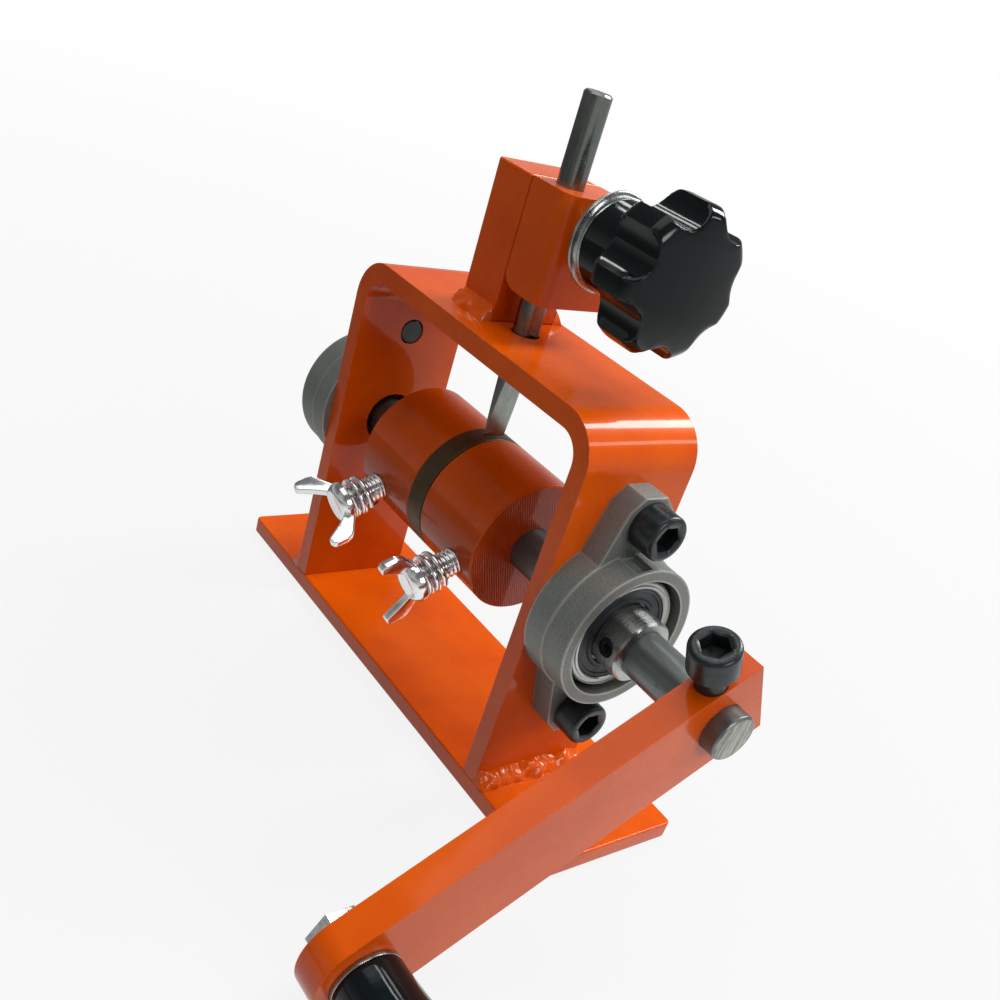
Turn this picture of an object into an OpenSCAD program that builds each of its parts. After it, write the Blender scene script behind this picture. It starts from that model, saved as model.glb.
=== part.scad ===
// Hand crank wire stripper: a cross shaft with a feed wheel turns under a clamped blade rod.
// +X runs along the shaft towards the crank, -Y is the front and +Z is up.
// The origin lies on the table, under the middle of the frame and under the shaft.

/* [Base and frame] */
// Length of the base plate along X
base_l = 136; // [126:1:150]
// Depth of the base plate along Y
base_d = 38; // [34:1:50]
// Thickness of the base plate
base_t = 4.2; // [3:0.1:6]
// Corner radius of the base plate
base_r = 1.5; // [0.5:0.1:4]
// Outer width of the frame along X
frame_w = 85.2; // [82:0.2:90]
// Height of the frame's top above the table
frame_h = 88.2; // [86.5:0.1:95]
// Width of the frame's bar along Y
bar_w = 28.8; // [27:0.2:32]
// Thickness of the frame's bar
bar_t = 4.3; // [3.5:0.1:4.8]
// Outer radius of the frame's bends
bend_r = 9.5; // [8:0.5:12]
// Leg length of the weld beads
weld_leg = 3.4; // [1.5:0.1:5]

/* [Shaft and sleeves] */
// Height of the shaft's axis above the table
shaft_z = 49; // [48:0.1:50]
// Diameter of the shaft
shaft_d = 10; // [8:0.1:10.5]
// How far the shaft stands past the arm's outer face
shaft_out = 3.7; // [1:0.1:10]
// Distance from the frame's middle to the shaft's plain end
shaft_left = 61; // [60:0.2:66]
// Diameter of the shaft's holes in the frame's legs
leg_hole_d = 13; // [12:0.1:15]
// Width of the feed wheel
wheel_w = 5.4; // [4:0.1:7]
// Diameter of the feed wheel
wheel_d = 30.5; // [28:0.1:31]
// Place of the feed wheel's middle along X
wheel_x = -1.3; // [-2:0.1:0]
// Diameter of the locking sleeves
sleeve_d = 30.5; // [28:0.1:32]
// Length of each locking sleeve
sleeve_l = 20.2; // [18:0.1:22]
// Depth of the small chamfers on turned pieces
turned_chamfer = 0.4; // [0.2:0.1:0.6]

/* [Wing screws] */
// Diameter of the wing screws' threads
wing_thread_d = 6; // [5:0.1:6.5]
// Distance from a sleeve's outer end to its wing screw
wing_inset = 7; // [6:0.1:9]
// Angle of the wing screws below the horizontal
wing_tilt = 24; // [0:1:60]
// Exposed thread between a sleeve and the spring
wing_gap = 3; // [2:0.1:4]
// Height of a wing screw's hub
wing_hub_h = 2.9; // [2.5:0.1:3.4]
// Diameter of a wing screw's hub
wing_hub_d = 9.6; // [8.6:0.1:12]
// Distance from a wing screw's axis to a wing's tip
wing_reach = 9.6; // [8.8:0.1:10.5]
// Thickness of a wing
wing_t = 1.8; // [1.2:0.1:2.4]
// Turn of the left screw's wings about its axis
left_wing_turn = 163; // [0:1:180]
// Turn of the right screw's wings about its axis
right_wing_turn = 81; // [0:1:180]

/* [Springs] */
// Wire thickness of the springs
spring_wire = 1.2; // [1:0.1:1.3]
// Climb of a spring for each curl
spring_pitch = 1.75; // [1.75:0.05:2]
// Curls of each spring
spring_curls = 2; // [1:1:2]

/* [Bearings] */
// Distance between the two flange screws of a bearing
bolt_spacing = 45; // [44:0.5:46]
// Thickness of the bearing housing's flange
flange_t = 5.8; // [5:0.1:7]
// Step from the housing's front edge out to the flange's round middle
flange_step = 0.3; // [0:0.1:1]
// Width of a flange's ear where it leaves the round middle
ear_base = 17.6; // [16:0.1:20]
// Width of a flange's ear at its end
ear_tip = 11.4; // [11:0.1:13]
// Distance from a flange screw's axis to the end of its ear
ear_end = 5.5; // [5.2:0.1:7]
// Thickness of the housing's wall round the bearing
boss_wall = 2.9; // [2.7:0.1:3.4]
// Distance from the leg to the housing's front edge
boss_h = 11.9; // [11.5:0.1:13]
// Thickness of the outer ring at its middle, beside the groove
seat_wall = 2.4; // [2.3:0.05:2.6]
// Width of the bearing's outer ring
outer_w = 8.4; // [7.8:0.1:9]
// Distance from the leg to the middle of the bearing
race_x = 6.1; // [5.9:0.1:6.5]
// Diameter of the balls
ball_d = 4.7; // [4:0.05:4.8]
// Number of balls in a bearing
ball_count = 8; // [6:1:8]
// Radius of the circle of balls
ball_pitch_r = 9.3; // [9.2:0.05:9.5]
// Step from the circle of balls in to the inner ring's collar
collar_step = 2.4; // [2.3:0.05:2.8]
// Distance from the leg to the collar's end
ring_end = 16.4; // [15.5:0.1:18]
// Width of the notch in the housing's upper side
notch_w = 4; // [2:0.1:5]
// Depth of the notch in the housing's upper side
notch_depth = 1; // [0.4:0.1:1.2]

/* [Flange screws] */
// Thread diameter of the flange screws and of the arm screw
screw_d = 6; // [5:0.1:6.5]
// Head diameter of the flange screws and of the arm screw
screw_head_d = 9.6; // [9:0.1:10.5]
// Head height of the flange screws and of the arm screw
screw_head_h = 6; // [5:0.1:7]

/* [Clamp and blade] */
// Place of the blade rod's axis along X
rod_x = 0.4; // [-1:0.1:1.5]
// Place of the blade rod's axis along Y
rod_y = -0.5; // [-1.5:0.1:1]
// Diameter of the blade rod
rod_d = 5.6; // [5:0.1:6]
// Length of the blade rod
rod_l = 70; // [62:1:85]
// Length of the ground wedge at the rod's lower end
edge_l = 28; // [15:1:30]
// Gap between the blade and the feed wheel
blade_gap = 0.4; // [0.3:0.1:1.5]
// Thickness of the clamp post along X
post_t = 11.1; // [8:0.1:13]
// Thickness of the clamp block along X
block_t = 12.6; // [11:0.1:14]
// Distance from the rod's axis to the block's free side
block_side = 7.4; // [6.5:0.1:8]
// Depth of the post and the block along Y
block_d = 17.2; // [15:0.1:20]
// Distance from the rod's axis to the front of the post and the block
block_front = 5.6; // [4.5:0.1:7]
// Height of the clamp block
block_h = 21.4; // [18:0.1:24]
// Gap between the frame and the clamp block
block_gap = 8.1; // [5:0.1:10]
// Radius of the block's lower edge beside the post
block_edge_r = 4.6; // [2:0.1:6]
// Radius of the block's upright corners
block_corner_r = 3; // [1:0.1:4]

/* [Knob] */
// Height of the knob's axis above the block's underside
knob_rise = 15.7; // [12:0.1:17]
// Gap between the block and the knob
knob_gap = 6.2; // [3:0.1:8]
// Distance from the rod's axis back to the knob's axis along Y
knob_step = 1.1; // [0:0.1:1.5]
// Length of the knob's hub
hub_l = 11.3; // [8:0.1:14]
// Length of the knob's lobed head
head_l = 12.4; // [10:0.1:16]
// Radius of the knob's head
head_r = 14.2; // [13:0.1:15]
// Number of lobes on the knob
lobes = 7; // [5:1:8]
// Radius of the flutes between the lobes
flute_r = 4.6; // [4:0.1:5]
// Depth of the flutes
flute_depth = 2.9; // [2:0.1:3.2]
// Radius of the knob's hub
hub_r = 8.8; // [8:0.1:9.2]
// Radius of the bright collar at the hub's end
rim_r = 9.6; // [9.3:0.1:10.2]
// Length of the bright collar at the hub's end
rim_w = 2.4; // [1.6:0.1:3]
// Diameter of the knob's threaded stud
stud_d = 6; // [5:0.1:6]

/* [Crank] */
// Distance from the frame's middle to the arm's inner face
arm_x = 74.5; // [72:0.1:76]
// Thickness of the arm
arm_t = 6.6; // [6.2:0.1:8]
// Width of the arm
arm_w = 18.2; // [16:0.1:19]
// Distance from the shaft's axis to the arm's near end
arm_end = 10; // [8.5:0.1:12]
// Distance from the shaft's axis to the handle's axis
crank_r = 75; // [65:0.5:76]
// Angle of the arm below the horizontal
arm_tilt = 30; // [0:1:31]
// Gap between the arm and the arm screw's head
arm_screw_gap = 4.2; // [0.5:0.1:5]
// Angle between the arm screw and the arm's square
arm_screw_lean = 5; // [0:1:8]
// Diameter of the handle's pin
pin_d = 6; // [5:0.1:6.5]
// Length of the handle's grip
grip_l = 60; // [40:1:70]
// Largest diameter of the grip
grip_d = 19.4; // [18.5:0.1:20]
// Diameter of the grip's neck beside the arm
neck_d = 13; // [11:0.1:14]

/* [Hidden] */
$fn = 64;

// Clearances and the overrun of all cuts
running = 0.04;
snug = 0.02;
loose = 0.3;
over = 1;

// Places that follow from the sizes above
leg_x = frame_w / 2;
bar_front = -bar_w / 2;
shaft_r = shaft_d / 2;
wheel_left = wheel_x - wheel_w / 2;
wheel_right = wheel_x + wheel_w / 2;
left_sleeve_end = wheel_left - sleeve_l;
right_sleeve_end = wheel_right + sleeve_l;
left_wing_x = left_sleeve_end + wing_inset;
right_wing_x = right_sleeve_end - wing_inset;
sleeve_r = sleeve_d / 2;
blade_z = shaft_z + max(wheel_d, sleeve_d) / 2 + blade_gap;
block_right = rod_x + block_side;
block_left = block_right - block_t;
block_y = rod_y - block_front;
block_z = frame_h + block_gap;
clamp_top = block_z + block_h;
knob_z = block_z + knob_rise;
knob_x = block_right + knob_gap;
knob_y = rod_y + knob_step;
arm_mid = arm_x + arm_t / 2;
shaft_right = arm_x + arm_t + shaft_out;
steel = "silver";
paint = "orangered";
black = "#202224";

// A cylinder along X from x0 to x1, with chamfered ends
module rod_x_way(r, x0, x1, chamfer = 0) {
    rotate([0, 90, 0])
        rotate_extrude()
            polygon([
                [0, x0], [r - chamfer, x0], [r, x0 + chamfer],
                [r, x1 - chamfer], [r - chamfer, x1], [0, x1]
            ]);
}

// A ring along X from x0 to x1, with chamfered outer edges
module ring_x_way(r_in, r_out, x0, x1, chamfer = 0) {
    rotate([0, 90, 0])
        rotate_extrude()
            polygon([
                [r_in, x0], [r_out - chamfer, x0], [r_out, x0 + chamfer],
                [r_out, x1 - chamfer], [r_out - chamfer, x1], [r_in, x1]
            ]);
}

// Places its children on the shaft's axis
module on_shaft() {
    translate([0, 0, shaft_z]) children();
}

// Draws its children for the right side, or mirrored for the left side
module side(right) {
    mirror([right ? 0 : 1, 0, 0]) children();
}

// A cut with a round hole's true radius along Z
module hole(r, z0, z1) {
    translate([0, 0, z0]) cylinder(r = r, h = z1 - z0);
}

// Base and frame
base_y = bar_front;

// A rectangle from the origin with round corners
module round_plate(size_x, size_y, radius) {
    translate([radius, 0]) square([size_x - 2 * radius, size_y]);
    translate([0, radius]) square([size_x, size_y - 2 * radius]);
    for (x = [radius, size_x - radius], y = [radius, size_y - radius])
        translate([x, y]) circle(r = radius);
}

module base_plate() {
    color(paint)
        translate([-base_l / 2, base_y, 0])
            linear_extrude(base_t) round_plate(base_l, base_d, base_r);
}

module u_outline(width, height, radius) {
    translate([-width / 2, 0]) square([width, height - radius]);
    translate([radius - width / 2, 0]) square([width - 2 * radius, height]);
    for (x = [radius - width / 2, width / 2 - radius])
        translate([x, height - radius]) circle(r = radius);
}

module u_frame() {
    color(paint)
        difference() {
            translate([0, bar_w / 2, base_t])
                rotate([90, 0, 0])
                    linear_extrude(bar_w)
                        difference() {
                            u_outline(frame_w, frame_h - base_t, bend_r);
                            translate([0, -over])
                                u_outline(frame_w - 2 * bar_t, frame_h - base_t - bar_t + over, bend_r - bar_t);
                        }
            on_shaft() rod_x_way(leg_hole_d / 2, -leg_x - over, leg_x + over);
            for (z = [-bolt_spacing / 2, bolt_spacing / 2])
                translate([0, 0, shaft_z + z])
                    rod_x_way(screw_d / 2 + snug, -leg_x - over, leg_x + over);
            translate([rod_x, rod_y, 0])
                hole(rod_d / 2 + loose, frame_h - bar_t - over, frame_h + over);
        }
}

// A weld bead of quarter-round section along Y, in the corner at the origin
module bead(leg, len) {
    translate([0, len / 2, 0])
        rotate([90, 0, 0])
            linear_extrude(len)
                polygon([[0, 0], [leg, 0], [leg * bead_share, leg * bead_share], [0, leg]]);
}
bead_share = 0.6;

module frame_welds() {
    color(paint)
        for (right = [true, false])
            side(right)
                translate([leg_x, 0, base_t]) bead(weld_leg, bar_w);
}

// Clamp
module clamp_post() {
    color(paint)
        translate([block_left - post_t, block_y, frame_h])
            cube([post_t, block_d, clamp_top - frame_h]);
}

post_bead_share = 1.05;
post_weld_leg = weld_leg * post_bead_share;

module post_welds() {
    color(paint) {
        translate([block_left - post_t, block_y + block_d / 2, frame_h])
            mirror([1, 0, 0]) bead(post_weld_leg, block_d);
        translate([block_left - post_t / 2, block_y, frame_h])
            rotate([0, 0, -90]) bead(post_weld_leg, post_t);
        translate([block_left - post_t / 2, block_y + block_d, frame_h])
            rotate([0, 0, 90]) bead(post_weld_leg, post_t);
    }
}

// The block's plan: bevelled beside the post, rounded at the front on its free side
seam = 0.6;

module block_outline() {
    polygon([
        [seam, 0], [block_t - block_corner_r, 0], [block_t - block_corner_r, block_d],
        [seam, block_d], [0, block_d - seam], [0, seam]
    ]);
    translate([0, block_corner_r]) square([block_t, block_d - block_corner_r - seam]);
    translate([seam, block_d / 2]) square([block_t - seam, block_d / 2]);
    translate([block_t - block_corner_r, block_corner_r]) circle(r = block_corner_r);
}

module clamp_block() {
    color(paint)
        difference() {
            translate([block_left, block_y, block_z])
                linear_extrude(block_h) block_outline();
            translate([block_left, block_y - over, block_z])
                difference() {
                    translate([-over, 0, -over])
                        cube([block_edge_r + over, block_d + 2 * over, block_edge_r + over]);
                    translate([block_edge_r, 0, block_edge_r])
                        rotate([-90, 0, 0]) cylinder(r = block_edge_r, h = block_d + 2 * over);
                }
            translate([rod_x, rod_y, 0])
                hole(rod_d / 2 + running, block_z - over, clamp_top + over);
            translate([0, knob_y, knob_z])
                rod_x_way(stud_d / 2 + running, rod_x, block_right + over);
            translate([block_left, block_y - over, clamp_top])
                rotate([0, 45, 0]) cube([seam, block_d + 2 * over, seam]);
        }
}

// Bearings, drawn for the right side. The flange's plan has its ears along X.
land_share = 0.28;
outer_land_r = ball_pitch_r + ball_d * land_share;
inner_land_r = ball_pitch_r - ball_d * land_share;
seat_r = outer_land_r + seat_wall;
boss_r = seat_r + boss_wall;
flange_r = boss_r + flange_step;
ring_r = ball_pitch_r - collar_step;
ear_top = bolt_spacing / 2 + ear_end;
ear_bevel_share = 0.25;
ear_bevel = ear_tip * ear_bevel_share;

module flange_outline() {
    circle(r = flange_r);
    for (half = [0, 1])
        mirror([half, 0])
            polygon([
                [0, -ear_base / 2], [flange_r * ear_root_share, -ear_base / 2], [ear_top - ear_bevel, -ear_tip / 2],
                [ear_top, ear_bevel - ear_tip / 2], [ear_top, ear_tip / 2 - ear_bevel],
                [ear_top - ear_bevel, ear_tip / 2], [flange_r * ear_root_share, ear_base / 2], [0, ear_base / 2]
            ]);
}
ear_root_share = 0.8;

mouth_gap = 0.4;
mouth_r = seat_r + mouth_gap;
spot_gap = 0.6;
back_r = ball_pitch_r + ball_d / 2;

module housing() {
    difference() {
        union() {
            translate([leg_x, 0, 0])
                rotate([0, 90, 0]) linear_extrude(flange_t) flange_outline();
            translate([leg_x + flange_t, 0, 0])
                rotate([0, 90, 0]) cylinder(r = boss_r, h = boss_h - flange_t);
        }
        for (z = [-bolt_spacing / 2, bolt_spacing / 2])
            translate([0, 0, z]) {
                rod_x_way(screw_d / 2 + loose, leg_x - over, leg_x + flange_t + over);
                rod_x_way(screw_head_d / 2 + spot_gap, leg_x + flange_t, leg_x + boss_h + over);
            }
        translate([leg_x + flange_t, -notch_w, boss_r - notch_depth])
            cube([boss_h - flange_t - turned_chamfer * 2, notch_w, notch_depth + over]);
        translate([leg_x + race_x, 0, 0]) sphere(r = seat_r + snug, $fn = 96);
        rod_x_way(mouth_r, leg_x + race_x, leg_x + boss_h + over);
        rod_x_way(back_r, leg_x - over, leg_x + race_x);
    }
}

module left_housing() {
    color("dimgray") on_shaft() side(false) housing();
}

module right_housing() {
    color("dimgray") on_shaft() side(true) housing();
}

groove_r = ball_d / 2 + snug * 3;
seal_t = 0.8;
seal_recess = 0.3;

module ball_groove() {
    translate([leg_x + race_x, 0, 0])
        rotate([0, 90, 0])
            rotate_extrude() translate([ball_pitch_r, 0]) circle(r = groove_r);
}

module outer_ring() {
    race = leg_x + race_x;
    difference() {
        intersection() {
            translate([race, 0, 0]) sphere(r = seat_r, $fn = 96);
            ring_x_way(outer_land_r, seat_r, race - outer_w / 2, race + outer_w / 2);
        }
        ball_groove();
    }
}

module left_outer_ring() {
    color("gainsboro") on_shaft() side(false) outer_ring();
}

module right_outer_ring() {
    color("gainsboro") on_shaft() side(true) outer_ring();
}

module seals() {
    far = outer_w / 2 - seal_recess;
    for (x = [-far, far - seal_t])
        ring_x_way(ring_r + loose, outer_land_r, leg_x + race_x + x, leg_x + race_x + x + seal_t);
}

module left_seals() {
    color(black) on_shaft() side(false) seals();
}

module right_seals() {
    color(black) on_shaft() side(true) seals();
}

inner_half = outer_w / 2 - seal_recess - seal_t - loose;
ring_screw_d = 4;
ring_screw_in = 3.4;
ring_screw_x = ring_end - ring_screw_in;

module inner_ring() {
    race = leg_x + race_x;
    difference() {
        union() {
            ring_x_way(shaft_r + snug, ring_r, race - outer_w / 2, leg_x + ring_end, turned_chamfer);
            ring_x_way(shaft_r + snug, inner_land_r, race - inner_half, race + inner_half);
        }
        ball_groove();
        translate([leg_x + ring_screw_x, 0, 0])
            rotate([90, 0, 0]) cylinder(r = ring_screw_d / 2 + snug, h = ring_r + over);
    }
}

module left_inner_ring() {
    color("lightgray") on_shaft() side(false) inner_ring();
}

module right_inner_ring() {
    color("lightgray") on_shaft() side(true) inner_ring();
}

// A hexagon socket down from z = 0
module hex_socket(across, depth) {
    translate([0, 0, -depth]) cylinder(r = across / 2, h = depth + over, $fn = 6);
}

module ring_screw() {
    translate([leg_x + ring_screw_x, 0, 0])
        rotate([90, 0, 0])
            difference() {
                translate([0, 0, shaft_r + snug])
                    cylinder(r = ring_screw_d / 2, h = ring_r - shaft_r - loose);
                translate([0, 0, ring_r - loose]) hex_socket(ring_screw_d / 2, ring_screw_d / 4);
            }
}

module left_ring_screw() {
    color(black) on_shaft() side(false) ring_screw();
}

module right_ring_screw() {
    color(black) on_shaft() side(true) ring_screw();
}

// A socket head screw along Z, its head's underside at z = 0 and its tip at z = -len
module cap_screw(len) {
    difference() {
        union() {
            rotate_extrude()
                polygon([
                    [0, 0], [screw_head_d / 2, 0], [screw_head_d / 2, screw_head_h - turned_chamfer],
                    [screw_head_d / 2 - turned_chamfer, screw_head_h], [0, screw_head_h]
                ]);
            translate([0, 0, -len]) cylinder(r = screw_d / 2, h = len + over);
        }
        translate([0, 0, screw_head_h]) hex_socket(screw_head_d * socket_share, screw_head_h / 2);
    }
}
socket_share = 0.58;

module flange_screws() {
    for (z = [-bolt_spacing / 2, bolt_spacing / 2])
        translate([leg_x + flange_t, 0, z])
            rotate([0, 90, 0]) cap_screw(flange_t + bar_t);
}

module left_flange_screws() {
    color(black) on_shaft() side(false) flange_screws();
}

module right_flange_screws() {
    color(black) on_shaft() side(true) flange_screws();
}

// Balls and cages
cage_in = inner_land_r + loose;
cage_out = outer_land_r - loose;
cage_half = ball_d / 2 + turned_chamfer;

module balls() {
    for (i = [0 : ball_count - 1])
        translate([leg_x + race_x, 0, 0])
            rotate([360 / ball_count * (i + 0.5), 0, 0])
                translate([0, 0, ball_pitch_r]) sphere(d = ball_d, $fn = 48);
}

module cage() {
    race = leg_x + race_x;
    difference() {
        ring_x_way(cage_in, cage_out, race - cage_half, race + cage_half);
        for (i = [0 : ball_count - 1])
            translate([race, 0, 0])
                rotate([360 / ball_count * (i + 0.5), 0, 0])
                    cylinder(r = ball_d / 2 + running, h = seat_r);
    }
}

module left_balls() {
    color(steel) on_shaft() side(false) balls();
}

module right_balls() {
    color(steel) on_shaft() side(true) balls();
}

module left_cage() {
    color("tan") on_shaft() side(false) cage();
}

module right_cage() {
    color("tan") on_shaft() side(true) cage();
}

// Shaft, wheel and sleeves
module shaft() {
    color("slategray") on_shaft() rod_x_way(shaft_r, -shaft_left, shaft_right, turned_chamfer);
}

module feed_wheel() {
    color("#2a2118")
        on_shaft()
            ring_x_way(shaft_r + snug, wheel_d / 2, wheel_left + snug, wheel_right - snug, turned_chamfer / 2);
}

module sleeve(x0, x1, screw_x) {
    color(paint)
        on_shaft()
            difference() {
                ring_x_way(shaft_r + running, sleeve_r, x0, x1, turned_chamfer);
                translate([screw_x, 0, 0])
                    rotate([90 + wing_tilt, 0, 0])
                        cylinder(r = wing_thread_d / 2 + running, h = sleeve_r + over);
            }
}

module left_sleeve() {
    sleeve(left_sleeve_end, wheel_left, left_wing_x);
}

module right_sleeve() {
    sleeve(wheel_right, right_sleeve_end, right_wing_x);
}

// Wing screws: Z runs out from the shaft's axis
wing_tip = shaft_r + loose;
spring_z = sleeve_r + wing_gap + spring_wire / 2;
coil_end_share = 1.2;
spring_h = spring_pitch * spring_curls + spring_wire * coil_end_share;
hub_z = spring_z + spring_h;
hub_waist_share = 0.5;
hub_top_share = 0.76;
wing_rise_share = 1.95;
wing_low_share = 0.56;
wing_h = wing_hub_h * (1 + wing_rise_share);
wing_tip_r = wing_h / 4;
wing_root_r = wing_hub_h * hub_waist_share;

module on_wing_axis(x) {
    on_shaft() translate([x, 0, 0]) rotate([90 + wing_tilt, 0, 0]) children();
}

module wing_outline() {
    hull() {
        translate([wing_hub_d / 4, wing_root_r]) circle(r = wing_root_r, $fn = 32);
        translate([wing_reach - wing_tip_r, wing_h - wing_tip_r]) circle(r = wing_tip_r, $fn = 32);
        translate([wing_reach - wing_tip_r, wing_h * wing_low_share]) circle(r = wing_tip_r, $fn = 32);
    }
}

module wing_screw(x, turn) {
    color("gainsboro")
        on_wing_axis(x) {
            rotate_extrude()
                polygon([
                    [0, wing_tip], [wing_thread_d / 2 - turned_chamfer, wing_tip],
                    [wing_thread_d / 2, wing_tip + turned_chamfer], [wing_thread_d / 2, hub_z],
                    [wing_hub_d / 2, hub_z], [wing_hub_d / 2, hub_z + wing_hub_h * hub_waist_share],
                    [wing_hub_d / 2 * hub_top_share, hub_z + wing_hub_h], [0, hub_z + wing_hub_h]
                ]);
            for (half = [0, 180])
                rotate([0, 0, turn + half])
                    translate([0, wing_t / 2, hub_z])
                        rotate([90, 0, 0]) linear_extrude(wing_t) wing_outline();
        }
}

module left_wing_screw() {
    wing_screw(left_wing_x, left_wing_turn);
}

module right_wing_screw() {
    wing_screw(right_wing_x, right_wing_turn);
}

// Springs: one tube that climbs round the thread. Its lower end runs straight on, and its upper end
// turns up and meets the hub's face square to it.
spring_r = wing_thread_d / 2 + loose + spring_wire / 2;
tube_sides = 6;
curl_rings = 8;
coil_rings = curl_rings * spring_curls;

function coil_point(k) = let (a = 360 * k / curl_rings)
    [spring_r * cos(a), spring_r * sin(a), spring_pitch * k / curl_rings];
coil_start = coil_point(0);
coil_end = coil_point(coil_rings);
turn_out_shares = [[0.4, 0.12], [0.62, 0.5], [0.64, 0.9], [0.64, coil_end_share]];
coil_path = concat(
    [coil_start - [0, spring_wire, 0], coil_start - [0, spring_wire / 2, 0]],
    [for (k = [0 : coil_rings]) coil_point(k)],
    [for (t = turn_out_shares) coil_end + [0, spring_wire * t[0], spring_wire * t[1]]]
);

function unit(v) = v / norm(v);
function path_way(p, i) =
    i == 0 ? unit(p[1] - p[0])
    : i == len(p) - 1 ? unit(p[i] - p[i - 1])
    : unit(unit(p[i + 1] - p[i]) + unit(p[i] - p[i - 1]));
function ring_points(p, i) =
    let (
        way = path_way(p, i),
        radial = unit([p[i][0], p[i][1], 0]),
        out = unit(radial - way * (radial * way)),
        up = cross(way, out)
    )
    [for (s = [0 : tube_sides - 1])
        p[i] + spring_wire / 2 * (cos(360 * s / tube_sides) * out + sin(360 * s / tube_sides) * up)];
coil_points = [for (i = [0 : len(coil_path) - 1]) each ring_points(coil_path, i)];
coil_last = (len(coil_path) - 1) * tube_sides;
coil_faces = concat(
    [for (i = [0 : len(coil_path) - 2], s = [0 : tube_sides - 1]) each
        let (
            a = i * tube_sides + s,
            b = i * tube_sides + (s + 1) % tube_sides
        )
        [[a, b, b + tube_sides], [a, b + tube_sides, a + tube_sides]]],
    [for (s = [1 : tube_sides - 2]) [0, s + 1, s]],
    [for (s = [1 : tube_sides - 2]) [coil_last, coil_last + s, coil_last + s + 1]]
);
near_rings = 2;
coil_gap = min([for (i = [0 : len(coil_path) - 1], j = [0 : len(coil_path) - 1])
    if (j - i >= curl_rings - near_rings) norm(coil_path[i] - coil_path[j])]) - spring_wire;
echo(spring_gap_to_itself = coil_gap);

module spring(x) {
    color("silver")
        on_wing_axis(x)
            translate([0, 0, spring_z]) polyhedron(coil_points, coil_faces);
}

module left_spring() {
    spring(left_wing_x);
}

module right_spring() {
    spring(right_wing_x);
}

// Blade rod
edge_angle = atan(rod_d / 2 / edge_l);

module blade_rod() {
    color("darkgray")
        translate([rod_x, rod_y, blade_z])
            difference() {
                rotate_extrude()
                    polygon([
                        [0, 0], [rod_d / 2, 0], [rod_d / 2, rod_l - turned_chamfer],
                        [rod_d / 2 - turned_chamfer, rod_l], [0, rod_l]
                    ]);
                for (half = [0, 180])
                    rotate([0, 0, half])
                        rotate([0, edge_angle, 0])
                            translate([0, -rod_d, -rod_d]) cube([rod_d * 2, rod_d * 2, edge_l * 2]);
            }
}

// Knob: a revolved body, its X measured from the collar's face, cut by flutes
knob_l = hub_l + head_l;
head_round = 1.6;
head_dome = 0.8;
head_back_share = 0.8;
head_back = 3;
flute_turn = 46;

module knob_stud() {
    color(steel)
        translate([0, knob_y, knob_z])
            rod_x_way(stud_d / 2, rod_x + rod_d / 2 + loose, knob_x + hub_l, turned_chamfer);
}

module knob_collar() {
    color("silver")
        translate([knob_x, knob_y, knob_z])
            rotate([0, 90, 0])
                rotate_extrude()
                    polygon([
                        [stud_d / 2 + snug, 0], [rim_r - turned_chamfer, 0], [rim_r, turned_chamfer],
                        [rim_r, rim_w / 3], [(rim_r + hub_r) / 2, rim_w * 2 / 3], [hub_r, rim_w],
                        [stud_d / 2 + snug, rim_w]
                    ]);
}

module knob_profile() {
    polygon([
        [0, rim_w], [hub_r, rim_w], [hub_r, hub_l], [head_r * head_back_share, hub_l],
        [head_r, hub_l + head_back], [head_r, knob_l - head_dome - head_round],
        [head_r - head_round, knob_l - head_dome - head_round], [0, knob_l - head_dome - head_round]
    ]);
    polygon([
        [0, knob_l - head_dome - head_round], [head_r - head_round, knob_l - head_dome - head_round],
        [head_r - head_round, knob_l - head_dome], [head_r / 2, knob_l - head_dome / 4], [0, knob_l]
    ]);
    intersection() {
        translate([head_r - head_round, knob_l - head_dome - head_round]) circle(r = head_round);
        translate([head_r - head_round, knob_l - head_dome - head_round]) square(head_round);
    }
}

module star_knob() {
    color(black)
        translate([knob_x, knob_y, knob_z])
            rotate([0, 90, 0])
                difference() {
                    rotate_extrude() knob_profile();
                    for (i = [0 : lobes - 1])
                        rotate([0, 0, flute_turn + 360 / lobes * i])
                            translate([head_r - flute_depth + flute_r, 0, hub_l - over])
                                cylinder(r = flute_r, h = head_l + 2 * over);
                    translate([0, 0, rim_w - over]) cylinder(r = stud_d / 2 + snug, h = hub_l - rim_w + over + snug);
                }
}

// Crank: Y runs out along the arm, as seen from the crank's side
module on_arm() {
    on_shaft() rotate([arm_tilt, 0, 0]) children();
}

pin_r = pin_d / 2;

module crank_arm() {
    color(paint)
        on_arm()
            difference() {
                translate([arm_x, 0, 0]) {
                    translate([0, -crank_r, -arm_w / 2]) cube([arm_t, crank_r + arm_end, arm_w]);
                    translate([0, -crank_r, 0]) rotate([0, 90, 0]) cylinder(r = arm_w / 2, h = arm_t);
                }
                rod_x_way(shaft_r + snug, arm_x - over, arm_x + arm_t + over);
                translate([0, -crank_r, 0]) rod_x_way(pin_r + snug, arm_x - over, arm_x + arm_t + over);
                rotate([-arm_screw_lean, 0, 0])
                    translate([arm_mid, 0, 0]) hole(screw_d / 2 + snug, 0, arm_w / 2 + over);
            }
}

module arm_screw() {
    color(black)
        on_arm()
            rotate([-arm_screw_lean, 0, 0])
                translate([arm_mid, 0, arm_w / 2 + arm_screw_gap])
                    cap_screw(arm_w / 2 + arm_screw_gap - shaft_r - snug);
}

// Handle, its pin, washer and nut
washer_t = 1;
grip_gap = 0.2;
grip_x = arm_x + arm_t + washer_t + grip_gap;
pin_head_h = 3;
pin_head_share = 0.8;
pin_head_r = pin_d * pin_head_share;
nut_h = 4;
nut_d = 11;
grip_end = grip_x + grip_l;

module on_handle() {
    on_arm() translate([0, -crank_r, 0]) children();
}

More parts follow.
